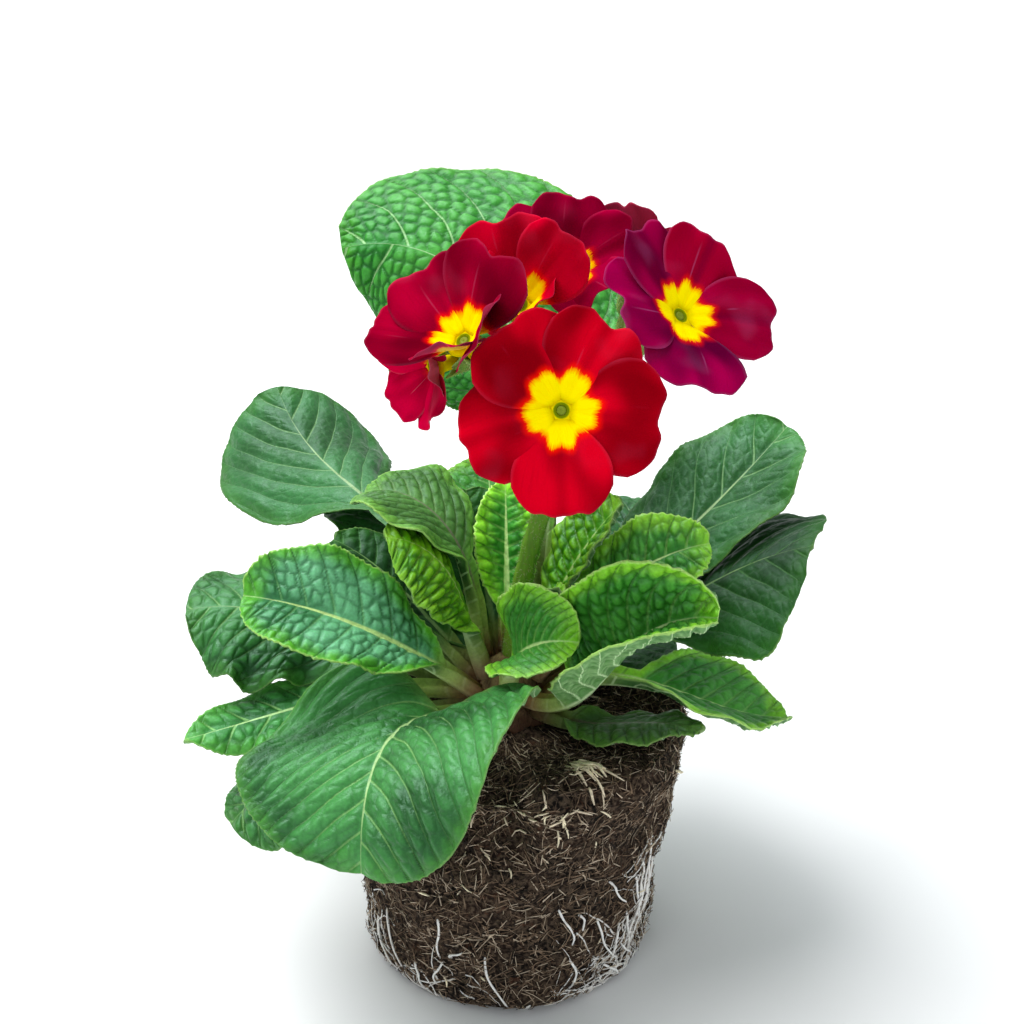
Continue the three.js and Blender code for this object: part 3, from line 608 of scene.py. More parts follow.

# Leaves. Each row: azimuth and height where it leaves the crown, midrib length, half width, climb at base,
# middle and tip, turn of its heading, roll, cup and curl of its two halves, edge wave (height, waves,
# phase), share of stalk, and belly and bluntness of its outline; then its finish, height of the puckers,
# swell between side veins, side veins on each half, how far these run forward, size of the puckers along
# and across, how light the leaf is, and how coarse its grid. The last four are small inner leaves that
# fill the middle. They, leaf_12 and leaf_21 wear the darkest finish, a darker copy of the leaf green that
# paints the shade they sit in.

leafKeys = (
    "azimuth", "height", "length", "half", "climb", "turn", "roll", "cup", "curl", "wave", "stalk", "belly",
    "blunt", "finish", "pucker", "quilt", "veins", "sweep", "cellAlong", "cellAcross", "light", "coarse",
)
leafRows = {
    "leaf_01": (-43, 75.5, 83, 39, (20, 4, -94), 43, 26, (15, 6), (-12, -8), (0.8, 3, 0.6), 0.2, 0.4, 0.5,
        "broad", 0.36, 1.1, 8, 0.9, 3.2, 4.4, 1.0, 1),
    "leaf_02": (-70, 79.5, 69, 16, (44, 29, 1), -30, -25, (28, 17), (2, -8), (0.8, 4, 0), 0.18, 0.9, 0.48,
        "crinkled", 1.0, 0.4, 7, 0.5, 3.2, 3.9, 1.3, 1),
    "leaf_03": (-109, 78.5, 82, 23, (-4, 22, -15), 24, -13, (-2, -3), (-23, -33), (2.6, 5, 1), 0.33, 1, 0.5,
        "broad", 0.6, 0.5, 7, 0.6, 3.8, 4.4, 0.75, 1),
    "leaf_04": (-90, 76.4, 77, 9, (14, -8, -1), 25, -22, (1, 1), (-18, -19), (1.2, 4, 2), 0.28, 1.1, 0.75,
        "broad", 0.6, 0.4, 7, 0.7, 3.6, 4.2, 1.5, 1),
    "leaf_05": (-70.3, 74.3, 73, 19, (9, -17, -51), 2, -4, (-12, -4), (-14, -14), (1.6, 4, 0), 0.42, 1, 0.45,
        "broad", 0.7, 0.7, 7, 0.6, 3.6, 5.0, 0.92, 1),
    "leaf_06": (-126, 83, 122, 28, (79, 9, 33), -32, -19, (-20, -4), (-40, -29), (1.4, 4, 1), 0.46, 1.05, 0.5,
        "smooth", 0.14, 0.6, 6, 1.4, 2.8, 3.8, 0.72, 1.2),
    "leaf_07": (-111, 87, 65, 19, (84, 61, -35), 1, 3, (9, 13), (-16, -10), (0.9, 5, 0), 0.43, 0.9, 0.55,
        "olive", 0.5, 0.3, 9, 0.6, 2.8, 3.8, 1.25, 1),
    "leaf_08": (0, 83, 39, 15, (63, 46, -4), 75, 43, (40, 45), (-8, 9), (0.7, 4, 1), 0.34, 0.8, 0.5,
        "fresh", 0.45, 0.15, 9, 0.9, 1.9, 4.8, 1.15, 1),
    "leaf_09": (42, 78.5, 68, 21, (9, 53, -4), 34, 42, (50, 50), (16, 30), (0.8, 4, 0), 0.2, 0.85, 0.5,
        "fresh", 1.25, 0.6, 9, 0.6, 2.2, 4.2, 1.35, 1),
    "leaf_10": (83, 84, 60, 12, (60, 43, 2), 19, 20, (10, 23), (-30, -7), (0.7, 4, 1), 0.21, 0.9, 0.5,
        "fresh", 1.0, 0.6, 8, 0.5, 2.4, 4.4, 1.4, 1),
    "leaf_11": (114, 83, 95, 21, (35, 34, 39), 9, 11, (18, 7), (-3, -15), (1.4, 4, 2), 0.19, 1, 0.5,
        "smooth", 0.16, 0.7, 6, 1.1, 3.0, 4.0, 0.95, 1),
    "leaf_12": (102, 78.5, 83, 31, (25, 38, 20), -37, 16, (0, -7), (-22, -24), (1.2, 4, 1), 0.37, 1, 0.38,
        "dark", 0.22, 0.5, 6, 0.8, 3.4, 4.6, 1.0, 1),
    "leaf_13": (76, 77, 68, 20, (53, -15, 4), 12, 0, (21, 10), (-1, -5), (0.7, 4, 0), 0.4, 0.9, 0.8,
        "fresh", 0.4, 0.6, 7, 0.6, 3.8, 4.8, 1.4, 1),
    "leaf_14": (54, 74.5, 48, 11, (-4, 20, -6), 8, -6, (6, -4), (-28, -10), (0.8, 4, 2), 0.18, 0.85, 0.7,
        "olive", 0.5, 0.3, 8, 0.5, 3.6, 4.6, 0.62, 1),
    "leaf_15": (148, 85.5, 152, 40, (53, 50, -20), 118, -41, (-6, -17), (-19, -41), (1.5, 4, 0), 0.26,
        0.9, 0.5, "pale", 0.9, 0.6, 8, 0.5, 3.6, 4.0, 0.94, 1.3),
    "leaf_16": (-178, 88, 44, 8, (80, 70, 56), 0, 0, (24, 24), (0, 0), (0.7, 5, 0), 0.22, 0.9, 0.6,
        "fresh", 0.9, 0.4, 10, 0.4, 3.2, 4.8, 1.95, 1),
    "leaf_17": (104, 88, 48, 12, (74, 62, 44), 0, 0, (20, 20), (-4, -4), (0.7, 5, 1), 0.25, 0.9, 0.55,
        "young", 1.0, 0.4, 10, 0.4, 3.2, 4.6, 0.92, 1),
    "leaf_18": (44, 88, 30, 6, (78, 66, 50), 0, 0, (34, 34), (0, 0), (0.5, 4, 0), 0.2, 0.8, 0.6,
        "young", 0.7, 0.4, 8, 0.5, 3.0, 4.0, 1.0, 1),
    "leaf_19": (148, 78, 88, 19, (26, 16, -20), 0, 6, (5, 5), (-16, -16), (1.5, 4, 0), 0.3, 1, 0.5,
        "broad", 0.7, 0.5, 8, 0.6, 4.0, 4.8, 1.0, 1.35),
    "leaf_20": (172, 75.5, 84, 18, (16, 2, -36), 0, 0, (5, 5), (-16, -16), (1.6, 4, 1), 0.3, 1, 0.5,
        "broad", 0.7, 0.5, 8, 0.6, 4.0, 4.8, 0.9, 1.35),
    "leaf_21": (-149, 79, 84, 19, (30, 22, -8), -4, 0, (6, 6), (-16, -16), (1.3, 4, 2), 0.3, 1, 0.5,
        "dark", 0.7, 0.5, 8, 0.6, 3.8, 4.6, 1.0, 1.35),
    "leaf_22": (-174, 81, 66, 17, (46, 38, 14), 0, 0, (8, 8), (-14, -14), (1, 4, 0), 0.3, 0.9, 0.5,
        "fresh", 0.8, 0.5, 8, 0.6, 3.8, 4.6, 1.2, 1.35),
    "leaf_23": (124, 76, 80, 18, (16, 2, -44), 0, 6, (5, 5), (-14, -14), (1.6, 4, 1), 0.3, 1, 0.55,
        "broad", 0.7, 0.5, 8, 0.6, 4.0, 4.8, 0.8, 1.35),
    "leaf_24": (-130, 75.8, 80, 21, (19, 4, -38), 0, -4, (5, 5), (-14, -14), (1.4, 4, 0), 0.3, 1, 0.55,
        "broad", 0.7, 0.5, 8, 0.6, 4.0, 4.8, 0.95, 1.35),
    "leaf_25": (-58, 86.5, 53, 15, (72, 68, 6), -20, -22, (-10, -4), (-10, -27), (0.8, 5, 0), 0.24, 0.9, 0.55,
        "young", 1.15, 0.7, 11, 0.3, 3.0, 7.0, 0.8, 1),
    "leaf_26": (-114, 80, 54, 13, (44, 42, 12), 0, 0, (10, 10), (-10, -10), (0.9, 4, 0), 0.25, 0.9, 0.55,
        "dark", 0.5, 0.4, 7, 0.6, 3.6, 4.6, 1.0, 1.35),
    "leaf_27": (-158, 84, 46, 13, (68, 64, 40), 0, 0, (12, 12), (-8, -8), (0.8, 4, 1), 0.18, 0.8, 0.55,
        "dark", 0.6, 0.4, 7, 0.6, 3.6, 4.6, 1.1, 1.35),
    "leaf_28": (112, 77, 39, 12, (16, 13, -4), -8, 0, (6, 6), (-12, -12), (1, 4, 2), 0.24, 0.9, 0.55,
        "dark", 0.4, 0.4, 7, 0.6, 3.8, 4.6, 1.1, 1.35),
    "leaf_29": (-140, 80, 38, 12, (40, 38, 24), 0, 0, (12, 12), (-8, -8), (0.8, 4, 2), 0.12, 0.8, 0.55,
        "dark", 0.5, 0.4, 6, 0.6, 4.6, 4.8, 0.9, 1.35),
}
# Leaf finishes. The third colour is painted into the net of creases and the side-vein grooves: a painted
# shade, darker than the leaf, except in the smooth finish and the darkest finish, where it is a paler net of
# veinlets. The darkest finish is itself painted shade: a darker copy of the leaf green for leaves in shade.
finishKeys = (
    "deep", "light", "hollow", "edge", "vein", "rib", "veinShow", "creaseShow", "edgeShow", "rough", "gloss",
)
finishRows = {
    "broad": ("#205620", "#489448", "#143c12", "#468828", "#8cbf6e", "#b0d28c", 0.55, 0.3, 0.6, 0.38, 0.45),
    "smooth": ("#286228", "#448c4a", "#639e60", "#468828", "#94c480", "#b4d494", 0.6, 0.5, 0.6, 0.4, 0.4),
    "crinkled": ("#2e6a3c", "#62a676", "#164a1a", "#4f9c20", "#7cb668", "#bcd886", 0.25, 0.5, 0.95, 0.36, 0.5),
    "fresh": ("#2c741e", "#4f9a3a", "#134408", "#7cbe2c", "#8dc064", "#b2cf86", 0.35, 0.45, 1.0, 0.38, 0.45),
    "olive": ("#3a6228", "#507e3c", "#24461b", "#68a03c", "#7fa266", "#6f6d5c", 0.3, 0.5, 0.85, 0.42, 0.35),
    "young": ("#4c9c06", "#82c81a", "#266404", "#98d634", "#9cd048", "#bddc84", 0.3, 0.7, 0.7, 0.4, 0.4),
    "dark": ("#143c12", "#295f26", "#3d6f3a", "#2f6a18", "#578c44", "#86aa68", 0.4, 0.4, 0.6, 0.44, 0.3),
    "pale": ("#2c8a28", "#4fac3e", "#145812", "#48a024", "#a8dc94", "#b9e0a4", 1.6, 0.75, 0.9, 0.4, 0.35),
}
leaves = {name: dict(zip(leafKeys, row)) for name, row in leafRows.items()}
leafFinishes = {kind: dict(zip(finishKeys, row)) for kind, row in finishRows.items()}

leafBody = {
    "thickness": 0.55, "rimShare": 0.55, "stalkHalfWidth": 2.6, "stalkFold": 52, "stalkKeel": 2.1,
    "keel": 0.75, "seat": 1.9, "rootedIn": 2.2, "tooth": 1.1, "toothGap": 1.8, "ruffle": 0.8,
    "groove": 0.35, "crease": 0.2, "underVein": 0.5, "underNet": 0.3,
    "grid": 0.13, "finest": 0.45, "stalkGrid": 1.7, "acrossGrid": 0.68,
    "lastRow": 0.996, "reach": (-87.3, 84.7),
}


def leafMidrib(leaf, shares):  # place, side and up of the midrib at each share of its length
    steps = 120
    part = np.arange(steps + 1) / steps
    base, middle, tip = leaf["climb"]
    climb = base * (1 - part) * (1 - 2 * part) + middle * 4 * part * (1 - part) + tip * part * (2 * part - 1)
    heading = leaf["azimuth"] + leaf["turn"] * part
    ahead = towards(heading, climb)
    side = np.stack([np.cos(np.radians(heading)), np.sin(np.radians(heading)), 0 * heading], axis=1)
    up = np.cross(ahead, side)
    roll = np.radians(leaf["roll"] * smooth(part, 0.05, 0.5))[:, None]
    height = leaf["height"]
    start = towards(leaf["azimuth"]) * (crownRadius(height) + leafBody["seat"]) + (0, 0, height)
    path = start + np.concatenate([np.zeros((1, 3)), np.cumsum(ahead[:-1], axis=0)]) * leaf["length"] / steps

    def at(values):
        return np.stack([np.interp(shares, part, values[:, k]) for k in range(3)], axis=1)

    before = np.minimum(shares, 0)[:, None] * leaf["length"]
    turnedSide = side * np.cos(roll) + up * np.sin(roll)
    turnedUp = up * np.cos(roll) - side * np.sin(roll)
    return at(path) + ahead[0] * before, unit(at(turnedSide)), unit(at(turnedUp))


def leafHalfWidth(leaf, shares):
    b = np.clip((shares - leaf["stalk"]) / (1 - leaf["stalk"]), 0, 1)
    belly, blunt = leaf["belly"], leaf["blunt"]
    widest = belly / (belly + blunt)
    most = widest**belly * (1 - widest) ** blunt
    return leafBody["stalkHalfWidth"] * (1 - b) + leaf["half"] * b**belly * (1 - b) ** blunt / most


def cellWalls(x, y, seed):  # 0 on the walls of an uneven net of cells, up to about 1 in their middles
    distances = []
    for i in (-1, 0, 1):
        for j in (-1, 0, 1):
            cellX, cellY = np.floor(x) + i, np.floor(y) + j
            awayX = x - cellX - 0.5 - 0.7 * (chance(cellX, cellY, seed) - 0.5)
            awayY = y - cellY - 0.5 - 0.7 * (chance(cellX, cellY, seed + 50) - 0.5)
            distances.append(np.hypot(awayX, awayY))
    nearest = np.sort(np.stack(distances), axis=0)
    return nearest[1] - nearest[0]


def leafGrid(leaf):  # shares of the length for the rows, and of the half width for the columns
    length, stalk = leaf["length"], leaf["stalk"]
    gap = max(leafBody["grid"] * leaf["cellAlong"], leafBody["finest"]) * leaf["coarse"]
    stalkRows = max(6, int(stalk * length / leafBody["stalkGrid"]))
    bladeRows = int((1 - stalk) * length / gap)
    bladeRows += (stalkRows + bladeRows) % 2
    onStalk = np.linspace(0, stalk, stalkRows, endpoint=False)
    onBlade = stalk + (leafBody["lastRow"] - stalk) * (1 - (1 - np.linspace(0, 1, bladeRows)) ** 1.25)
    columns = 2 * max(10, int(leaf["half"] / min(gap * 1.1, leafBody["acrossGrid"]))) + 1
    v = np.linspace(-1, 1, columns)
    shares = np.concatenate([[-leafBody["rootedIn"] / length], onStalk, onBlade])
    return shares, np.sign(v) * np.abs(v) ** 1.08


def bareBlade(leaf, shares, v):  # a folded channel along the stalk that opens into the cupped, curled blade
    path, side, up = leafMidrib(leaf, shares)
    width = leafHalfWidth(leaf, shares)[:, None]
    t = np.clip(shares, 0, 1)[:, None]
    opening = smooth(t, 0.08, leaf["stalk"] + 0.2)
    cup, curl = (np.where(v < 0, *leaf[key]) for key in ("cup", "curl"))
    start = np.radians(mix(leafBody["stalkFold"], cup, opening))
    bend = np.radians(curl) * opening * np.abs(v)
    reach = np.abs(v) * width * np.sinc(bend / 2 / np.pi)
    flat = reach * np.cos(start + bend / 2) * np.sign(v)
    rise = reach * np.sin(start + bend / 2)
    height, waves, phase = leaf["wave"]
    rise = rise + height * v * v * opening * np.sin(2 * np.pi * waves * t + phase + np.where(v < 0, 2.2, 0))
    bare = path[:, None] + side[:, None] * flat[..., None] + up[:, None] * rise[..., None]
    return bare, width, t, opening


def withTeeth(leaf, number, upper, bare, normal, hold, v):  # small uneven teeth push the rim outwards
    largest = leafBody["tooth"] * leafFinishes[leaf["finish"]]["edgeShow"] ** 1.6
    for edge in (0, -1):
        margin = bare[:, edge]
        run = np.concatenate([[0], np.cumsum(np.linalg.norm(np.diff(margin, axis=0), axis=1))])
        out = unit(np.cross(unit(np.gradient(margin, axis=0)), normal[:, edge])) * (1 if edge else -1)
        tooth = run / leafBody["toothGap"] + 0.6 * np.sin(run * 0.31 + number)
        part = tooth - np.floor(tooth)
        size = largest * (0.35 + 0.85 * chance(np.floor(tooth), number, edge))
        bump = (np.where(part < 0.62, part / 0.62, (1 - part) / 0.38) ** 0.8 - 0.85) * size
        onEdge = (v > 0 if edge else v < 0) * hold
        upper = upper + out[:, None] * (bump[:, None] * onEdge)[..., None]
    return upper


def growLeaf(name, leaf, finish):
    number, length, stalk = int(name[-2:]), leaf["length"], leaf["stalk"]
    pucker, sweep, cellAlong = leaf["pucker"], leaf["sweep"], leaf["cellAlong"]
    shares, v = leafGrid(leaf)
    bare, width, t, opening = bareBlade(leaf, shares, v)

    # Leaf coordinates in millimetres: along, across, and in from the margin.
    along = t * length
    across = v * width
    inward = np.minimum((1 - np.abs(v)) * width, (1 - t) * length * 0.8)
    point = np.stack(np.broadcast_arrays(along, across, number * 13.0), -1)

    # Side veins, and the net of creases between them.
    veinGap = (1 - stalk) * length / leaf["veins"]
    veinLine = (along - stalk * length - sweep * np.abs(across) - 0.012 * across**2) / veinGap
    veinLine = veinLine + np.where(v < 0, 0.37, 0)  # the two halves alternate
    veinLine = veinLine + 0.3 * lumps(point, 24, 3) + 0.07 * lumps(point, 7, 3)
    veinAway = np.abs(veinLine - np.round(veinLine)) * veinGap / np.hypot(1, sweep + 0.024 * np.abs(across))
    cellX = (along - 0.5 * sweep * np.abs(across)) / cellAlong + 0.5 * lumps(point, 15, 5)
    cellY = across / leaf["cellAcross"] + 0.5 * lumps(point, 15, 6)
    walls = np.minimum(cellWalls(cellX, cellY, number), veinAway / (0.4 * cellAlong))
    crispness = min(1, 0.3 + 1.2 * pucker)
    net = np.exp(-((walls / 0.2) ** 2)) * crispness
    vein = np.exp(-((veinAway / 0.7) ** 2))
    rib = np.exp(-((across / 1.5) ** 2))

    # Upper side: puckers between the creases, a swell between the side veins, and a ruffled margin.
    normal = unit(np.cross(np.gradient(bare, axis=0), np.gradient(bare, axis=1)))
    calm = opening * smooth(inward, -0.4, 1.8) * (1 - 0.9 * rib)
    dome = 1 - (1 - np.clip(walls / 0.6, 0, 1)) ** 2
    nearRib = 1 - smooth(np.abs(v), 0.1, 0.75)
    swell = 0.75 + 0.55 * lumps(point, 14, 4)
    between = np.abs(np.sin(np.pi * veinLine)) ** 1.2
    relief = (pucker * swell * (dome - 0.6) + leaf["quilt"] * (between - 0.6)) * calm
    relief = relief - leafBody["crease"] * nearRib * vein * calm - leafBody["groove"] * rib * opening
    ruffle = leafBody["ruffle"] * lumps(point, 11, 8) + leafBody["ruffle"] * lumps(point, 5.2, 9)
    ruffle = ruffle * v * v * opening * smooth(leaf["half"], 4, 20)  # narrow leaves keep a calm rim
    upper = bare + normal * (relief + ruffle)[..., None]
    upper = withTeeth(leaf, number, upper, bare, normal, np.exp(-np.abs(inward) / 0.7) * opening, v)

    # Under side: a thin blade whose veins and midrib stand out, and a thick keel under the stalk.
    keel = mix(leafBody["stalkKeel"], leafBody["keel"], smooth(t, stalk * 0.5, stalk + 0.35))
    rounded = np.sqrt(np.clip(1 - np.abs(v) ** 1.6, 0, 1)) + 0 * t
    ribProfile = mix(rounded, np.exp(-((across / 1.7) ** 2)), opening)
    thickness = leafBody["thickness"] * mix(leafBody["rimShare"], 1.0, smooth(inward, 0, 2.5))
    raised = (leafBody["underVein"] * vein + leafBody["underNet"] * net) * calm
    padded = np.pad(relief, 1, mode="edge")
    lowest = np.min([padded[i:, j:][: len(shares), : len(v)] for i in range(3) for j in range(3)], axis=0)
    lower = upper + normal * (lowest - relief - thickness - keel * ribProfile - raised)[..., None]
    for face in (upper, lower):
        face[..., 0] = np.clip(face[..., 0], *leafBody["reach"])

    # cell: how high on its pucker a point sits, which the finish paints as a highlight; net: the creases,
    # which it paints with the crease colour.
    marks = {
        "across": across, "veinLine": veinLine, "veinGap": veinGap, "inward": inward, "net": net * calm,
        "veinWidth": mix(0.5, 0.2, np.abs(v) * opening), "share": shares[:, None], "stem": 1 - opening,
        "cell": dome * calm * crispness, "nearRib": nearRib, "light": leaf["light"],
    }
    grids = {mark: np.broadcast_to(values, relief.shape) for mark, values in marks.items()}
    fields = {mark: np.concatenate([grid.ravel(), grid[::2, ::2].ravel()]) for mark, grid in grids.items()}
    points = np.concatenate([upper.reshape(-1, 3), lower[::2, ::2].reshape(-1, 3)])
    fields["under"] = np.arange(len(points)) >= relief.size
    piece = buildMesh(name.replace("_", ""), finish, points, sheetFaces(len(shares), len(v), 2), fields)
    return place(piece, "leaf", *([name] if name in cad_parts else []))


def leafFinish(name, look):
    finish, tree, surface = newFinish(name + "Leaf", look["rough"], look["gloss"], {
        "Specular Tint": (0.62, 0.95, 0.82, 1), "Subsurface Weight": 0.05,
        "Subsurface Radius": (0.3, 1.0, 0.15), "Subsurface Scale": 0.0012,
    })
    wanted = ("share", "veinLine", "net", "inward", "under", "stem", "nearRib")
    share, veinLine, net, inward, under, stem, nearRib = (field(tree, each) for each in wanted)
    across = calc("ABSOLUTE", field(tree, "across"))
    rib = spread(calc("DIVIDE", across, spread(share, 0.05, 1.0, 1.1, 0.12)), 0.4, 1.2, 1.0, 0.0)
    rib = times(rib, spread(share, 0.72, 0.95, 1.0, 0.35))
    away = calc("ABSOLUTE", minus(calc("FRACT", plus(veinLine, 100.5)), 0.5))
    away = times(away, field(tree, "veinGap"))
    vein = spread(calc("DIVIDE", away, field(tree, "veinWidth")), 0.35, 1.3, 1.0, 0.0)

    # Cloudy green, with a paler margin and pale veins and midrib. Painted highlight: the tops of the puckers
    # are painted towards the lighter green. Painted shade: the net of creases and the side-vein grooves away
    # from the midrib are painted darker with the crease colour, a paler net in the smooth and darkest
    # finishes.
    cloud = spread(grain(tree, 26), 0.36, 0.64)
    # Painted highlight on the pucker tops.
    pucker = spread(field(tree, "cell"), 0.55, 1.0, 0.0, 0.5)
    edge = spread(minus(inward, times(grain(tree, 6), 7.0)), -3.0, 2.5, look["edgeShow"], 0.0)
    # Painted shade in the side-vein grooves away from the midrib.
    crease = times(vein, minus(look["creaseShow"], times(nearRib, look["creaseShow"])))
    veinShow = calc("MINIMUM", times(plus(times(nearRib, 0.85), 0.15), look["veinShow"]), 0.8)
    # The net of creases and the grooves take the crease colour, a painted shade in most finishes.
    green = layered(
        blend(cloud, look["deep"], look["light"]), (pucker, look["light"]), (edge, look["edge"]),
        (times(net, look["creaseShow"]), look["hollow"]), (crease, look["hollow"]),
        (times(vein, veinShow), look["vein"]), (times(rib, 0.9), look["rib"]),
    )
    below = layered(
        blend(cloud, "#36602a", "#507c40"), (times(net, 0.6), "#8db078"), (times(vein, 0.9), "#a8c492"),
        (rib, "#b3cb98"),
    )

    # The stalk is yellowish green and turns brownish pink where it leaves the crown. The rim is a pale line.
    stalkGreen = blend(spread(share, 0.0, 0.16), "#7d5438", "#8a9c4c")
    rimLine = spread(inward, 0.1, 0.5, 0.6 * look["edgeShow"] ** 2, 0.0)
    colour = layered(
        green, (under, below), (spread(stem, 0.4, 0.95, 0.0, 0.85), stalkGreen),
        (times(rimLine, minus(1.0, stem)), "#a8cc6c"),
    )
    speck = times(spread(grain(tree, 0.8, 3), 0.3, 0.7, 0.88, 1.1), field(tree, "light"))
    paint(surface, shaded(colour, speck))
    rough = plus(spread(grain(tree, 2.4, 3), 0.35, 0.65, -0.06, 0.1), look["rough"])
    plug(surface.inputs["Roughness"], plus(rough, times(under, 0.2)))
    skin = plus(times(grain(tree, 0.5), 0.5), grain(tree, 1.5))
    emboss(surface, minus(minus(skin, times(vein, 0.5)), net), 0.16)
    return finish


def growLeaves():
    finishes = {kind: leafFinish(kind, look) for kind, look in leafFinishes.items()}
    made = [growLeaf(name, leaf, finishes[leaf["finish"]]) for name, leaf in leaves.items()]
    print("leaves grown:", triangles(made), "triangles")


growLeaves()

# Scape: a stout downy stalk whose head carries the pedicels.

scape = {
    "curve": ((1, 1.5, 86.5), (2, 2, 109), (9, 3, 131), (15, 2, 149)), "footRadius": 2.7, "radius": 2.3,
    "headRadius": 4.2, "hairs": 1000, "rows": 60, "headRows": 14, "sides": 28,
}
down = {  # short hairs on scape, pedicels and calyces
    "length": (0.5, 1.1), "radius": 0.045, "sunk": 0.02, "perMillimetre": 10, "onCalyx": 180, "seed": 31,
}


def stemFinish(name, low, high, streak):
    finish, tree, surface = newFinish(name, 0.62, 0.35, {
        "Subsurface Weight": 0.06, "Subsurface Scale": 0.001,
    })
    x, y, z = spotAxes(tree)
    green = blend(spread(z, 0.088, 0.15), low, high)
    lines = spread(grain(tree, 1.2, 3, together(x, y, times(z, 0.12))), 0.38, 0.66)
    green = blend(times(lines, 0.45), green, streak)
    freckle = spread(grain(tree, 0.7), 0.56, 0.7, 0.0, 0.3)
    paint(surface, blend(freckle, green, "#8d6a52"))
    emboss(surface, plus(lines, grain(tree, 0.4)), 0.12)
    return finish


def downHairs(foot, outwards, draw):  # one thin tapered hair on each foot point
    count = len(foot)
    half = draw.uniform(*down["length"], count)[:, None] * 0.5
    lean = unit(outwards + draw.normal(0, 0.35, (count, 3)))
    sag = unit(lean + draw.normal(0, 0.3, (count, 3)))
    paths = np.stack([foot - lean * 0.1, foot + lean * half, foot + lean * half + sag * half], axis=1)
    radii = np.full((count, 3), down["radius"]) * (1.2, 0.8, 0.25)
    return tubes(paths, radii, 3)


def hairsAlong(path, radius, count, draw):
    which = draw.integers(0, len(path) - 1, count)
    part = draw.uniform(0, 1, count)[:, None]
    centre = path[which] * (1 - part) + path[which + 1] * part
    along = unit(path[which + 1] - path[which])
    out = unit(np.cross(along, unit(draw.normal(0, 1, (count, 3)))))
    return downHairs(centre + out * (radius[which] - down["sunk"])[:, None], out, draw)


def makeScape(finish, hairs):
    draw = np.random.default_rng(down["seed"])
    rows, headRows, sides = scape["rows"], scape["headRows"], scape["sides"]
    path = bezier(scape["curve"], rows)
    share = np.linspace(0, 1, rows)
    radius = mix(scape["footRadius"], scape["radius"], share) * (1 + 0.03 * np.sin(share * 40))
    points, faces = tubes(path[None], radius[None], sides)
    points = points + lumps(points, 1.6, 6)[:, None] * unit(points - np.repeat(path, sides, axis=0)) * 0.1
    turn = np.linspace(0, 1, headRows + 2)[1:-1, None] * np.pi
    around = np.arange(sides) * 2 * np.pi / sides
    across = np.sin(turn)
    ball = np.stack([across * np.cos(around), across * np.sin(around), -np.cos(turn) + 0 * around], axis=-1)
    ball = ball.reshape(-1, 3)
    ball = path[-1] + ball * (scape["headRadius"] + 0.25 * lumps(ball * 4, 1.5, 2)[:, None])
    stalk = joined([(points, faces), (ball, turnedFaces(headRows, sides))])
    place(buildMesh("scapeStalk", finish, *stalk), "stem", "scape")
    place(buildMesh("scapeHairs", hairs, *hairsAlong(path, radius, scape["hairs"], draw)), "stem")


# Flowers. Each: where its eye is, the way it faces (azimuth, climb), petal length, the way its pedicel
# leaves the head, reach of its yellow eye, its tints (deep, bright, glow by the eye, sheen), and its petals.
# A petal's row may stop early, and petalHabit gives the rest.

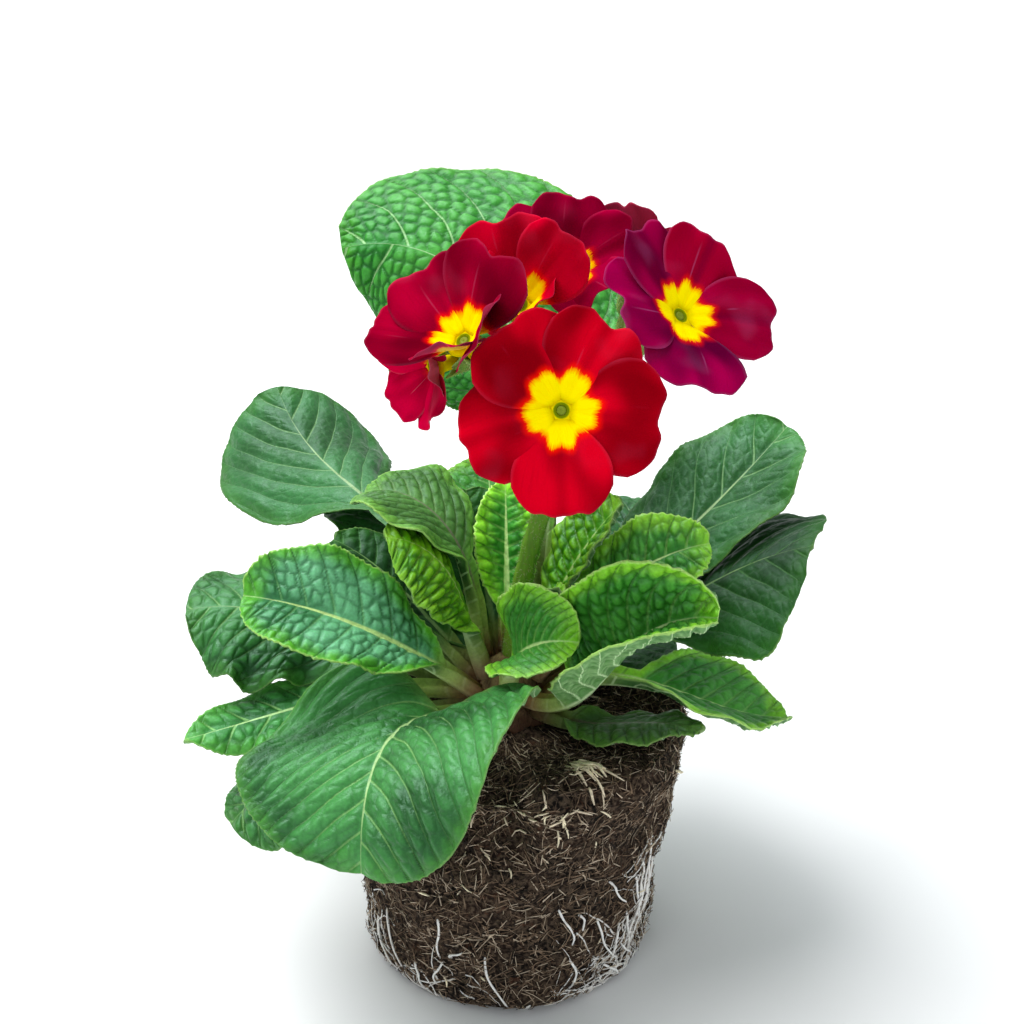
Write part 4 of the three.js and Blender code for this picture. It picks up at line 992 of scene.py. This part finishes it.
petalKeys = ("at", "lift", "width", "reach", "notch", "twist", "warm")
petalHabit = {"width": 0.48, "reach": 1, "notch": 0.08, "twist": 8, "warm": 0}
flowers = {
    "flower_1": {
        "eye": (12.5, -32, 171), "faces": (-3, 26), "size": 25.5, "leaves": (-8, 12), "star": 9.8,
        "tints": ("#86000e", "#d2001e", "#ff1400", "#d04468"),
        "petals": [
            (-88, (24, 4), 0.47, 1.03, 0), (-6, (22, 2), 0.54, 0.99, 0.05),
            (62, (24, -6), 0.48, 1, 0.08, 9), (127, (28, 6), 0.52, 1, 0.04, 9),
            (200, (20, -16), 0.48, 1, 0.02, 4),
        ],
    },
    "flower_2": {
        "eye": (-10.6, -17.4, 183), "faces": (-42, 46), "size": 25, "leaves": (-58, 30), "star": 8.6,
        "tints": ("#6c001a", "#b0002e", "#f00c00", "#c05078"),
        "petals": [
            (0, (46, 48), 0.42, 0.84, 0.08, 4), (78, (36, 28), 0.52, 1, 0.1), (146, (26, 4), 0.48, 1, 0.06),
            (196, (24, 10), 0.36, 1, 0.02, 4), (294, (64, 60), 0.42, 0.55, 0.08, 4),
        ],
    },
    "flower_3": {
        "eye": (-18.5, -5, 171.5), "faces": (-50, 0), "size": 16.5, "leaves": (-92, -2), "star": 2.8,
        "tints": ("#9a0028", "#d2003c", "#e01c20", "#e8809c"),
        "petals": [
            (-54, (42, 24)), (18, (50, 40), 0.48, 0.8), (90, (60, 56), 0.48, 0.5), (156, (42, 24), 0.44),
            (234, (42, 24)),
        ],
    },
    "flower_4": {
        "eye": (2.9, -3, 187), "faces": (-10, 40), "size": 23, "leaves": (-30, 78), "star": 9.0,
        "tints": ("#a0001a", "#e2002c", "#ff1400", "#d04468"),
        "petals": [
            (46, (44, 40), 0.46, 1.06, 0.02), (108, (30, 14), 0.54), (176, (58, 60), 0.48, 0.62),
            (250, (66, 50), 0.36, 0.42, 0.08, 4), (322, (62, 62), 0.4, 0.62),
        ],
    },
    "flower_5": {
        "eye": (14.5, 17, 188.5), "faces": (2, 46), "size": 22, "leaves": (178, 66), "star": 8.4,
        "tints": ("#70001e", "#a80036", "#d81010", "#d04470"),
        "petals": [
            (20, (34, 10), 0.48, 1, 0.1), (82, (30, 6), 0.48, 1, 0.12), (148, (32, 8), 0.52, 1, 0.03),
            (226, (40, 20), 0.48, 0.7), (312, (40, 20), 0.48, 0.7),
        ],
    },
    "flower_6": {
        "eye": (41.6, -8, 186), "faces": (46, 44), "size": 25, "leaves": (58, 24), "star": 8.8,
        "tints": ("#58002c", "#a20046", "#e01008", "#b868a8"),
        "petals": [
            (-26, (24, -4), 0.44, 1.1, 0.04, 14, 0.5), (38, (26, 6), 0.48, 1, 0.06, 8, 0.7),
            (94, (26, 0), 0.48, 1, 0.05, 8, 0.15), (158, (26, -6), 0.52, 1, 0.16),
            (238, (24, 0), 0.54, 1, 0.02, 6),
        ],
    },
    "flower_7": {
        "eye": (34.5, 29, 187), "faces": (150, 50), "size": 19, "leaves": (126, 28), "star": 7.4,
        "tints": ("#680010", "#9a001c", "#d81410", "#c04068"),
        "petals": [
            (0, (42, 36)), (72, (44, 36)), (144, (30, 10)), (216, (26, 2)), (288, (30, 10)),
        ],
    },
}

bloomBody = {
    "petalThickness": 0.4, "petalFoot": 1.4, "petalLap": 0.5, "ruffle": 0.9, "fold": 0.4, "throat": 2.55,
    "tube": 1.9, "bore": 1.15, "tubeLength": 13, "calyx": 3.1, "calyxLength": 10, "pedicel": 1.15,
    "style": 0.45, "stigma": 1.12, "headRadius": 4.4, "gap": 0.3,
    "petalRows": 25, "petalColumns": 27, "sides": 30, "calyxSides": 60, "pedicelRows": 26, "pedicelSides": 14,
}


def bentLine(start, end, length):  # along and above, for a line that bends evenly between two angles
    first, turn = np.radians(start), np.radians(end - start)
    chord = length * np.sinc(turn / 2 / np.pi)
    return chord * np.cos(first + turn / 2), chord * np.sin(first + turn / 2)


def petal(bloom, flower, k):
    habit = {**petalHabit, **dict(zip(petalKeys, bloom["petals"][k]))}
    low, high = habit["lift"]
    size, throat = bloom["size"], bloomBody["throat"]
    number = flower * 5 + k
    b = np.linspace(0, 1, bloomBody["petalRows"])[:, None]
    a = np.linspace(-1, 1, bloomBody["petalColumns"])[None, :]
    edge = 1 - habit["notch"] * np.exp(-((a / 0.3) ** 2)) - 0.3 * np.abs(a) ** 4
    frill = 0.012 * np.sin(a * 9 + number * 1.7) + 0.008 * np.sin(a * 17 + number)
    length = (size * habit["reach"] - throat) * (edge + frill * (1 - a**4) - 0.012) * b
    widening = np.sin(np.minimum(b / 0.85, 1) * np.pi / 2) ** 0.85
    y = a * mix(bloomBody["petalFoot"], size * habit["width"], widening)
    tilt = np.radians(habit["twist"]) * np.sqrt(b)
    out, up = bentLine(low, mix(low, high, b * edge), length)
    lean = np.radians(mix(low, high, b))
    ruffle = bloomBody["ruffle"] * b * b * np.sin(a * 5 + k * 2.1) + 0.35 * b**3 * np.sin(a * 10.5 + number)
    ruffle = ruffle - bloomBody["fold"] * np.exp(-((a / 0.14) ** 2)) * np.sin(np.pi * b**0.8)
    off = y * np.sin(tilt) + (ruffle - 0.6 * np.abs(a) ** 3 * b * b)
    angle = np.radians(habit["at"])
    ahead, aside = np.array([np.cos(angle), np.sin(angle), 0]), np.array([-np.sin(angle), np.cos(angle), 0])
    reach = throat - bloomBody["petalLap"] + out - off * np.sin(lean)
    face = reach[..., None] * ahead + (y * np.cos(tilt))[..., None] * aside
    face[..., 2] = up + off * np.cos(lean)
    normal = unit(np.cross(np.gradient(face, axis=0), np.gradient(face, axis=1)))
    thick = bloomBody["petalThickness"] * mix(1.0, 0.45, b**2) * (1 - 0.5 * np.abs(a) ** 4)
    back = face - normal * thick[..., None]
    lobes = 1.05 - 0.3 * smooth(np.abs(a), 0.28, 0.64) - 0.12 * a * a - 0.07 * np.exp(-((a / 0.1) ** 2))
    lobes = lobes + 0.03 * np.sin(a * 7 + number)
    star = bloom["star"] * lobes * (1 + 0.06 * np.sin(number * 1.9)) - throat - length

    marks = {"star": star, "flank": a, "reach": b, "throat": 0, "petal": number, "warm": habit["warm"]}
    fields = {mark: np.tile(np.broadcast_to(values, y.shape).ravel(), 2) for mark, values in marks.items()}
    fields["under"] = np.repeat([0, 1], y.size)
    points = np.concatenate([face.reshape(-1, 3), back.reshape(-1, 3)])
    return points, sheetFaces(bloomBody["petalRows"], bloomBody["petalColumns"]), fields


def lathe(profile, sides, shape=None):  # a profile that closes on itself, turned about the flower's axis
    turn = 2 * np.pi * np.arange(sides) / sides
    rings = []
    for radius, z in profile:
        ring = np.stack([radius * np.cos(turn), radius * np.sin(turn), np.full(sides, float(z))], axis=1)
        rings.append(shape(ring, turn, radius, z) if shape else ring)
    index = np.arange(len(profile) * sides).reshape(-1, sides)
    below = np.roll(index, -1, axis=0)
    faces = np.stack([index, np.roll(index, -1, axis=1), np.roll(below, -1, axis=1), below], axis=-1)
    return np.concatenate(rings), faces.reshape(-1, 4).tolist()


def corollaTube():
    throat, bore, tube, long = (bloomBody[key] for key in ("throat", "bore", "tube", "tubeLength"))
    profile = [  # radius, height and how far in the throat it counts
        (tube, -long, 0.2), (tube, -9, 0.2), (tube, -5, 0.2), (tube + 0.1, -3, 0.1),
        (throat + 0.2, -1.5, 0), (throat + 1.9, -0.25, 0), (throat + 0.35, 0.02, 0),
        (throat - 0.3, -0.04, 0), (bore + 0.55, -0.1, 0.8), (bore + 0.15, -0.2, 1), (bore, -0.4, 1),
        (bore, -4, 1), (bore, -long, 1),
    ]
    points, faces = lathe([row[:2] for row in profile], bloomBody["sides"])
    depth = np.repeat([row[2] for row in profile], bloomBody["sides"])
    same = {"star": 7.0, "flank": 0.0, "reach": 0.0, "under": 0.0, "petal": 0.0, "warm": 0.0}
    return points, faces, {**same, "throat": depth}


def petalFinish(name, tints):
    deep, bright, glow, sheen = tints
    finish, tree, surface = newFinish(name, 0.6, 0.0, {
        "Sheen Weight": 0.01, "Sheen Roughness": 0.4, "Sheen Tint": tone(sheen), "Subsurface Weight": 0.06,
        "Subsurface Radius": (1.0, 0.12, 0.1), "Subsurface Scale": 0.001,
    })
    wanted = ("star", "flank", "reach", "under", "throat", "petal", "warm")
    star, flank, reach, under, throat, number, warm = (field(tree, each) for each in wanted)
    rays = together(times(flank, 0.02), times(reach, 0.004), number)
    fine = grain(tree, 1.1, 3, rays)
    zones = together(times(flank, 0.013), times(reach, 0.014), number)

    # Dark along the middle, and a glow by the eye. Painted highlights in the sheen tint: a faint paler line
    # beside the fold, patches of painted sheen that grow towards the rim, and a thin pale line along the rim.
    side = calc("ABSOLUTE", flank)
    # Painted highlight: a faint pale line beside the fold.
    fold = spread(calc("ABSOLUTE", minus(flank, 0.2)), 0.0, 0.035, 0.22, 0.0)
    fold = times(fold, spread(grain(tree, 8, 1), 0.45, 0.62))
    # Painted sheen in soft patches, stronger towards the rim.
    paintedSheen = times(spread(grain(tree, 10, 1), 0.55, 0.78, 0.0, 0.12), reach)
    # Painted highlight along the rim.
    rim = calc("MAXIMUM", spread(side, 0.93, 1.0), spread(reach, 0.965, 1.0))
    red = layered(
        blend(spread(grain(tree, 13, 1, zones), 0.3, 0.66), deep, bright), (warm, "#a80020"),
        (spread(side, 0.0, 0.2, 0.35, 0.0), deep), (spread(fine, 0.52, 0.75, 0.0, 0.14), deep),
        (times(fold, spread(star, -12, -5)), sheen), (paintedSheen, sheen), (times(rim, 0.13), sheen),
        (spread(star, -2.2, 0.0, 0.0, 0.75), glow),
    )

    # The yellow eye has a ragged edge and darker streaks, with painted shade along the folds between the
    # petals and near the throat; its throat is green, painted darker deeper in the tube.
    ragged = plus(star, times(minus(grain(tree, 0.5, 3, rays), 0.5), 2.4))
    streaks = spread(fine, 0.55, 0.75, 0.0, 0.3)
    # Painted shade along the folds between the petals.
    foldShade = times(spread(side, 0.5, 0.95), spread(star, 1.0, 4.5, 0.0, 0.55))
    # Painted shade also darkens the yellow close to the throat.
    yellow = layered(
        blend(spread(ragged, 0.0, 1.6), "#ff9c00", "#ffe800"), (streaks, "#f0a800"),
        (foldShade, "#c89400"), (spread(reach, 0.0, 0.1, 0.6, 0.0), "#c8b000"),
    )
    # The throat is olive green, painted darker deeper in the tube, a painted shade.
    paint(surface, layered(
        red, (spread(ragged, -0.3, 0.3), yellow), (times(under, 0.35), sheen),
        (spread(throat, 0.2, 0.6), "#98a004"), (spread(throat, 0.5, 0.8), "#6c7c08"),
    ))
    emboss(surface, plus(fine, grain(tree, 0.35)), 0.05)
    return finish


def calyxCup():
    radius, long = bloomBody["calyx"], bloomBody["calyxLength"]
    floor = -bloomBody["tubeLength"] - bloomBody["gap"]
    bore = bloomBody["tube"] + bloomBody["gap"]

    def ribs(ring, turn, ringRadius, z):
        rib = 1 + 0.09 * np.cos(5 * turn) * (ringRadius > bore + 0.3)
        ring = ring * np.stack([rib, rib, np.ones_like(rib)], axis=1)
        if z > floor + long - 0.5:
            tooth = (0.5 + 0.5 * np.cos(5 * turn)) ** 1.4
            ring[:, 2] -= 3.2 * (1 - tooth)
            ring[:, :2] *= (1 + 0.1 * tooth)[:, None]
        return ring

    profile = [
        (0.3, floor - 1.6), (1.5, floor - 1.5), (2.3, floor - 0.6), (2.9, floor + 1.2), (radius, floor + 3.0),
        (radius, floor + 5.5), (radius + 0.1, floor + long), (radius - 0.35, floor + long),
        (radius - 0.45, floor + 5.5), (bore, floor + 2), (bore, floor + 0.2), (0.3, floor),
    ]
    return lathe(profile, bloomBody["calyxSides"], ribs)


def pistil():
    floor = -bloomBody["tubeLength"] - bloomBody["gap"]
    style, stigma = bloomBody["style"], bloomBody["stigma"]
    profile = [
        (0.02, floor - 0.3), (style, floor - 0.3), (style, -2.4), (stigma * 0.9, -1.4), (stigma, -0.7),
        (stigma, -0.2), (stigma * 0.6, -0.12), (0.02, -0.2),
    ]
    return lathe(profile, bloomBody["sides"])


def makeFlower(name, bloom, skins):
    flower, short = int(name[-1]), name.replace("_", "")
    azimuth, climb = bloom["faces"]
    facing = towards(azimuth, climb)
    side = np.array([np.cos(np.radians(azimuth)), np.sin(np.radians(azimuth)), 0])
    upward = np.cross(facing, side)
    eye = np.array(bloom["eye"], float)

    def placed(points, *others):  # from the flower's own axes to its place
        return eye + points @ np.stack([side, upward, facing]), *others

    parts = [placed(*part) for part in [corollaTube(), *(petal(bloom, flower, k) for k in range(5))]]
    corolla = buildMesh(short + "Corolla", petalFinish(short + "Petal", bloom["tints"]), *joined(parts))
    place(corolla, "petal_magenta" if name == "flower_6" else "petal_red", name + "_corolla")

    rows, gap = bloomBody["pedicelRows"], bloomBody["gap"]
    foot = eye + facing * (-bloomBody["tubeLength"] - 1.2)
    head = np.array(scape["curve"][3], float)
    leave = towards(*bloom["leaves"])
    start = head + leave * (bloomBody["headRadius"] - 0.6)
    reach = np.linalg.norm(foot - head - leave * (bloomBody["headRadius"] + gap))
    path = bezier((start, start + leave * reach * 0.35, foot - facing * reach * 0.35, foot), rows)
    radius = bloomBody["pedicel"] * (1 + 0.25 * np.linspace(0, 1, rows) ** 6)
    stalk = tubes(path[None], radius[None], bloomBody["pedicelSides"])
    calyx = joined([placed(*calyxCup()), stalk])
    place(buildMesh(short + "Calyx", skins["calyx"], *calyx), "stem", name + "_calyx")
    place(buildMesh(short + "Pistil", skins["pistil"], *placed(*pistil())), "stem")

    draw = np.random.default_rng(down["seed"] + flower)
    onStalk = hairsAlong(path, radius, int(down["perMillimetre"] * reach), draw)
    calyxPath = np.linspace(eye - facing * 13.5, eye - facing * 5.5, 8)
    onCalyx = hairsAlong(calyxPath, np.full(8, bloomBody["calyx"] + 0.1), down["onCalyx"], draw)
    place(buildMesh(short + "Down", skins["hairs"], *joined([onStalk, onCalyx])), "stem")
    return corolla


def growFlowers():
    hairs = twoTone("paleDown", 0.5, 0.4, 3, "#aebf78", "#d6deb2")
    makeScape(stemFinish("scapeSkin", "#709a26", "#6aa22c", "#46701e"), hairs)
    calyx = stemFinish("calyxSkin", "#94b052", "#86aa4a", "#628a36")
    pistilSkin = twoTone("pistilSkin", 0.6, 0.3, 0.5, "#63750a", "#849410", (0.3, 0.1))
    skins = {"calyx": calyx, "pistil": pistilSkin, "hairs": hairs}
    corollas = [makeFlower(name, bloom, skins) for name, bloom in flowers.items()]
    print("flowers made:", triangles(corollas), "triangles of petal")


growFlowers()

# Floor: pale, faintly cloudy, and far wider than any view.

paleFloor = {"reach": 30000, "low": (0.90, 0.90, 0.90, 1), "high": (0.93, 0.93, 0.93, 1), "patch": 60}


def layFloor():
    finish = twoTone("paleFloor", 0.9, 0.1, paleFloor["patch"], paleFloor["low"], paleFloor["high"])
    far = paleFloor["reach"]
    points = [(-far, -far, 0), (far, -far, 0), (far, far, 0), (-far, far, 0)]
    buildMesh("floor", finish, points, [(0, 1, 2, 3)])


layFloor()

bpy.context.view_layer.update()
pieces = [piece for piece in bpy.data.objects if piece.type == "MESH" and piece.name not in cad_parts]
print("triangles in all:", triangles(pieces))
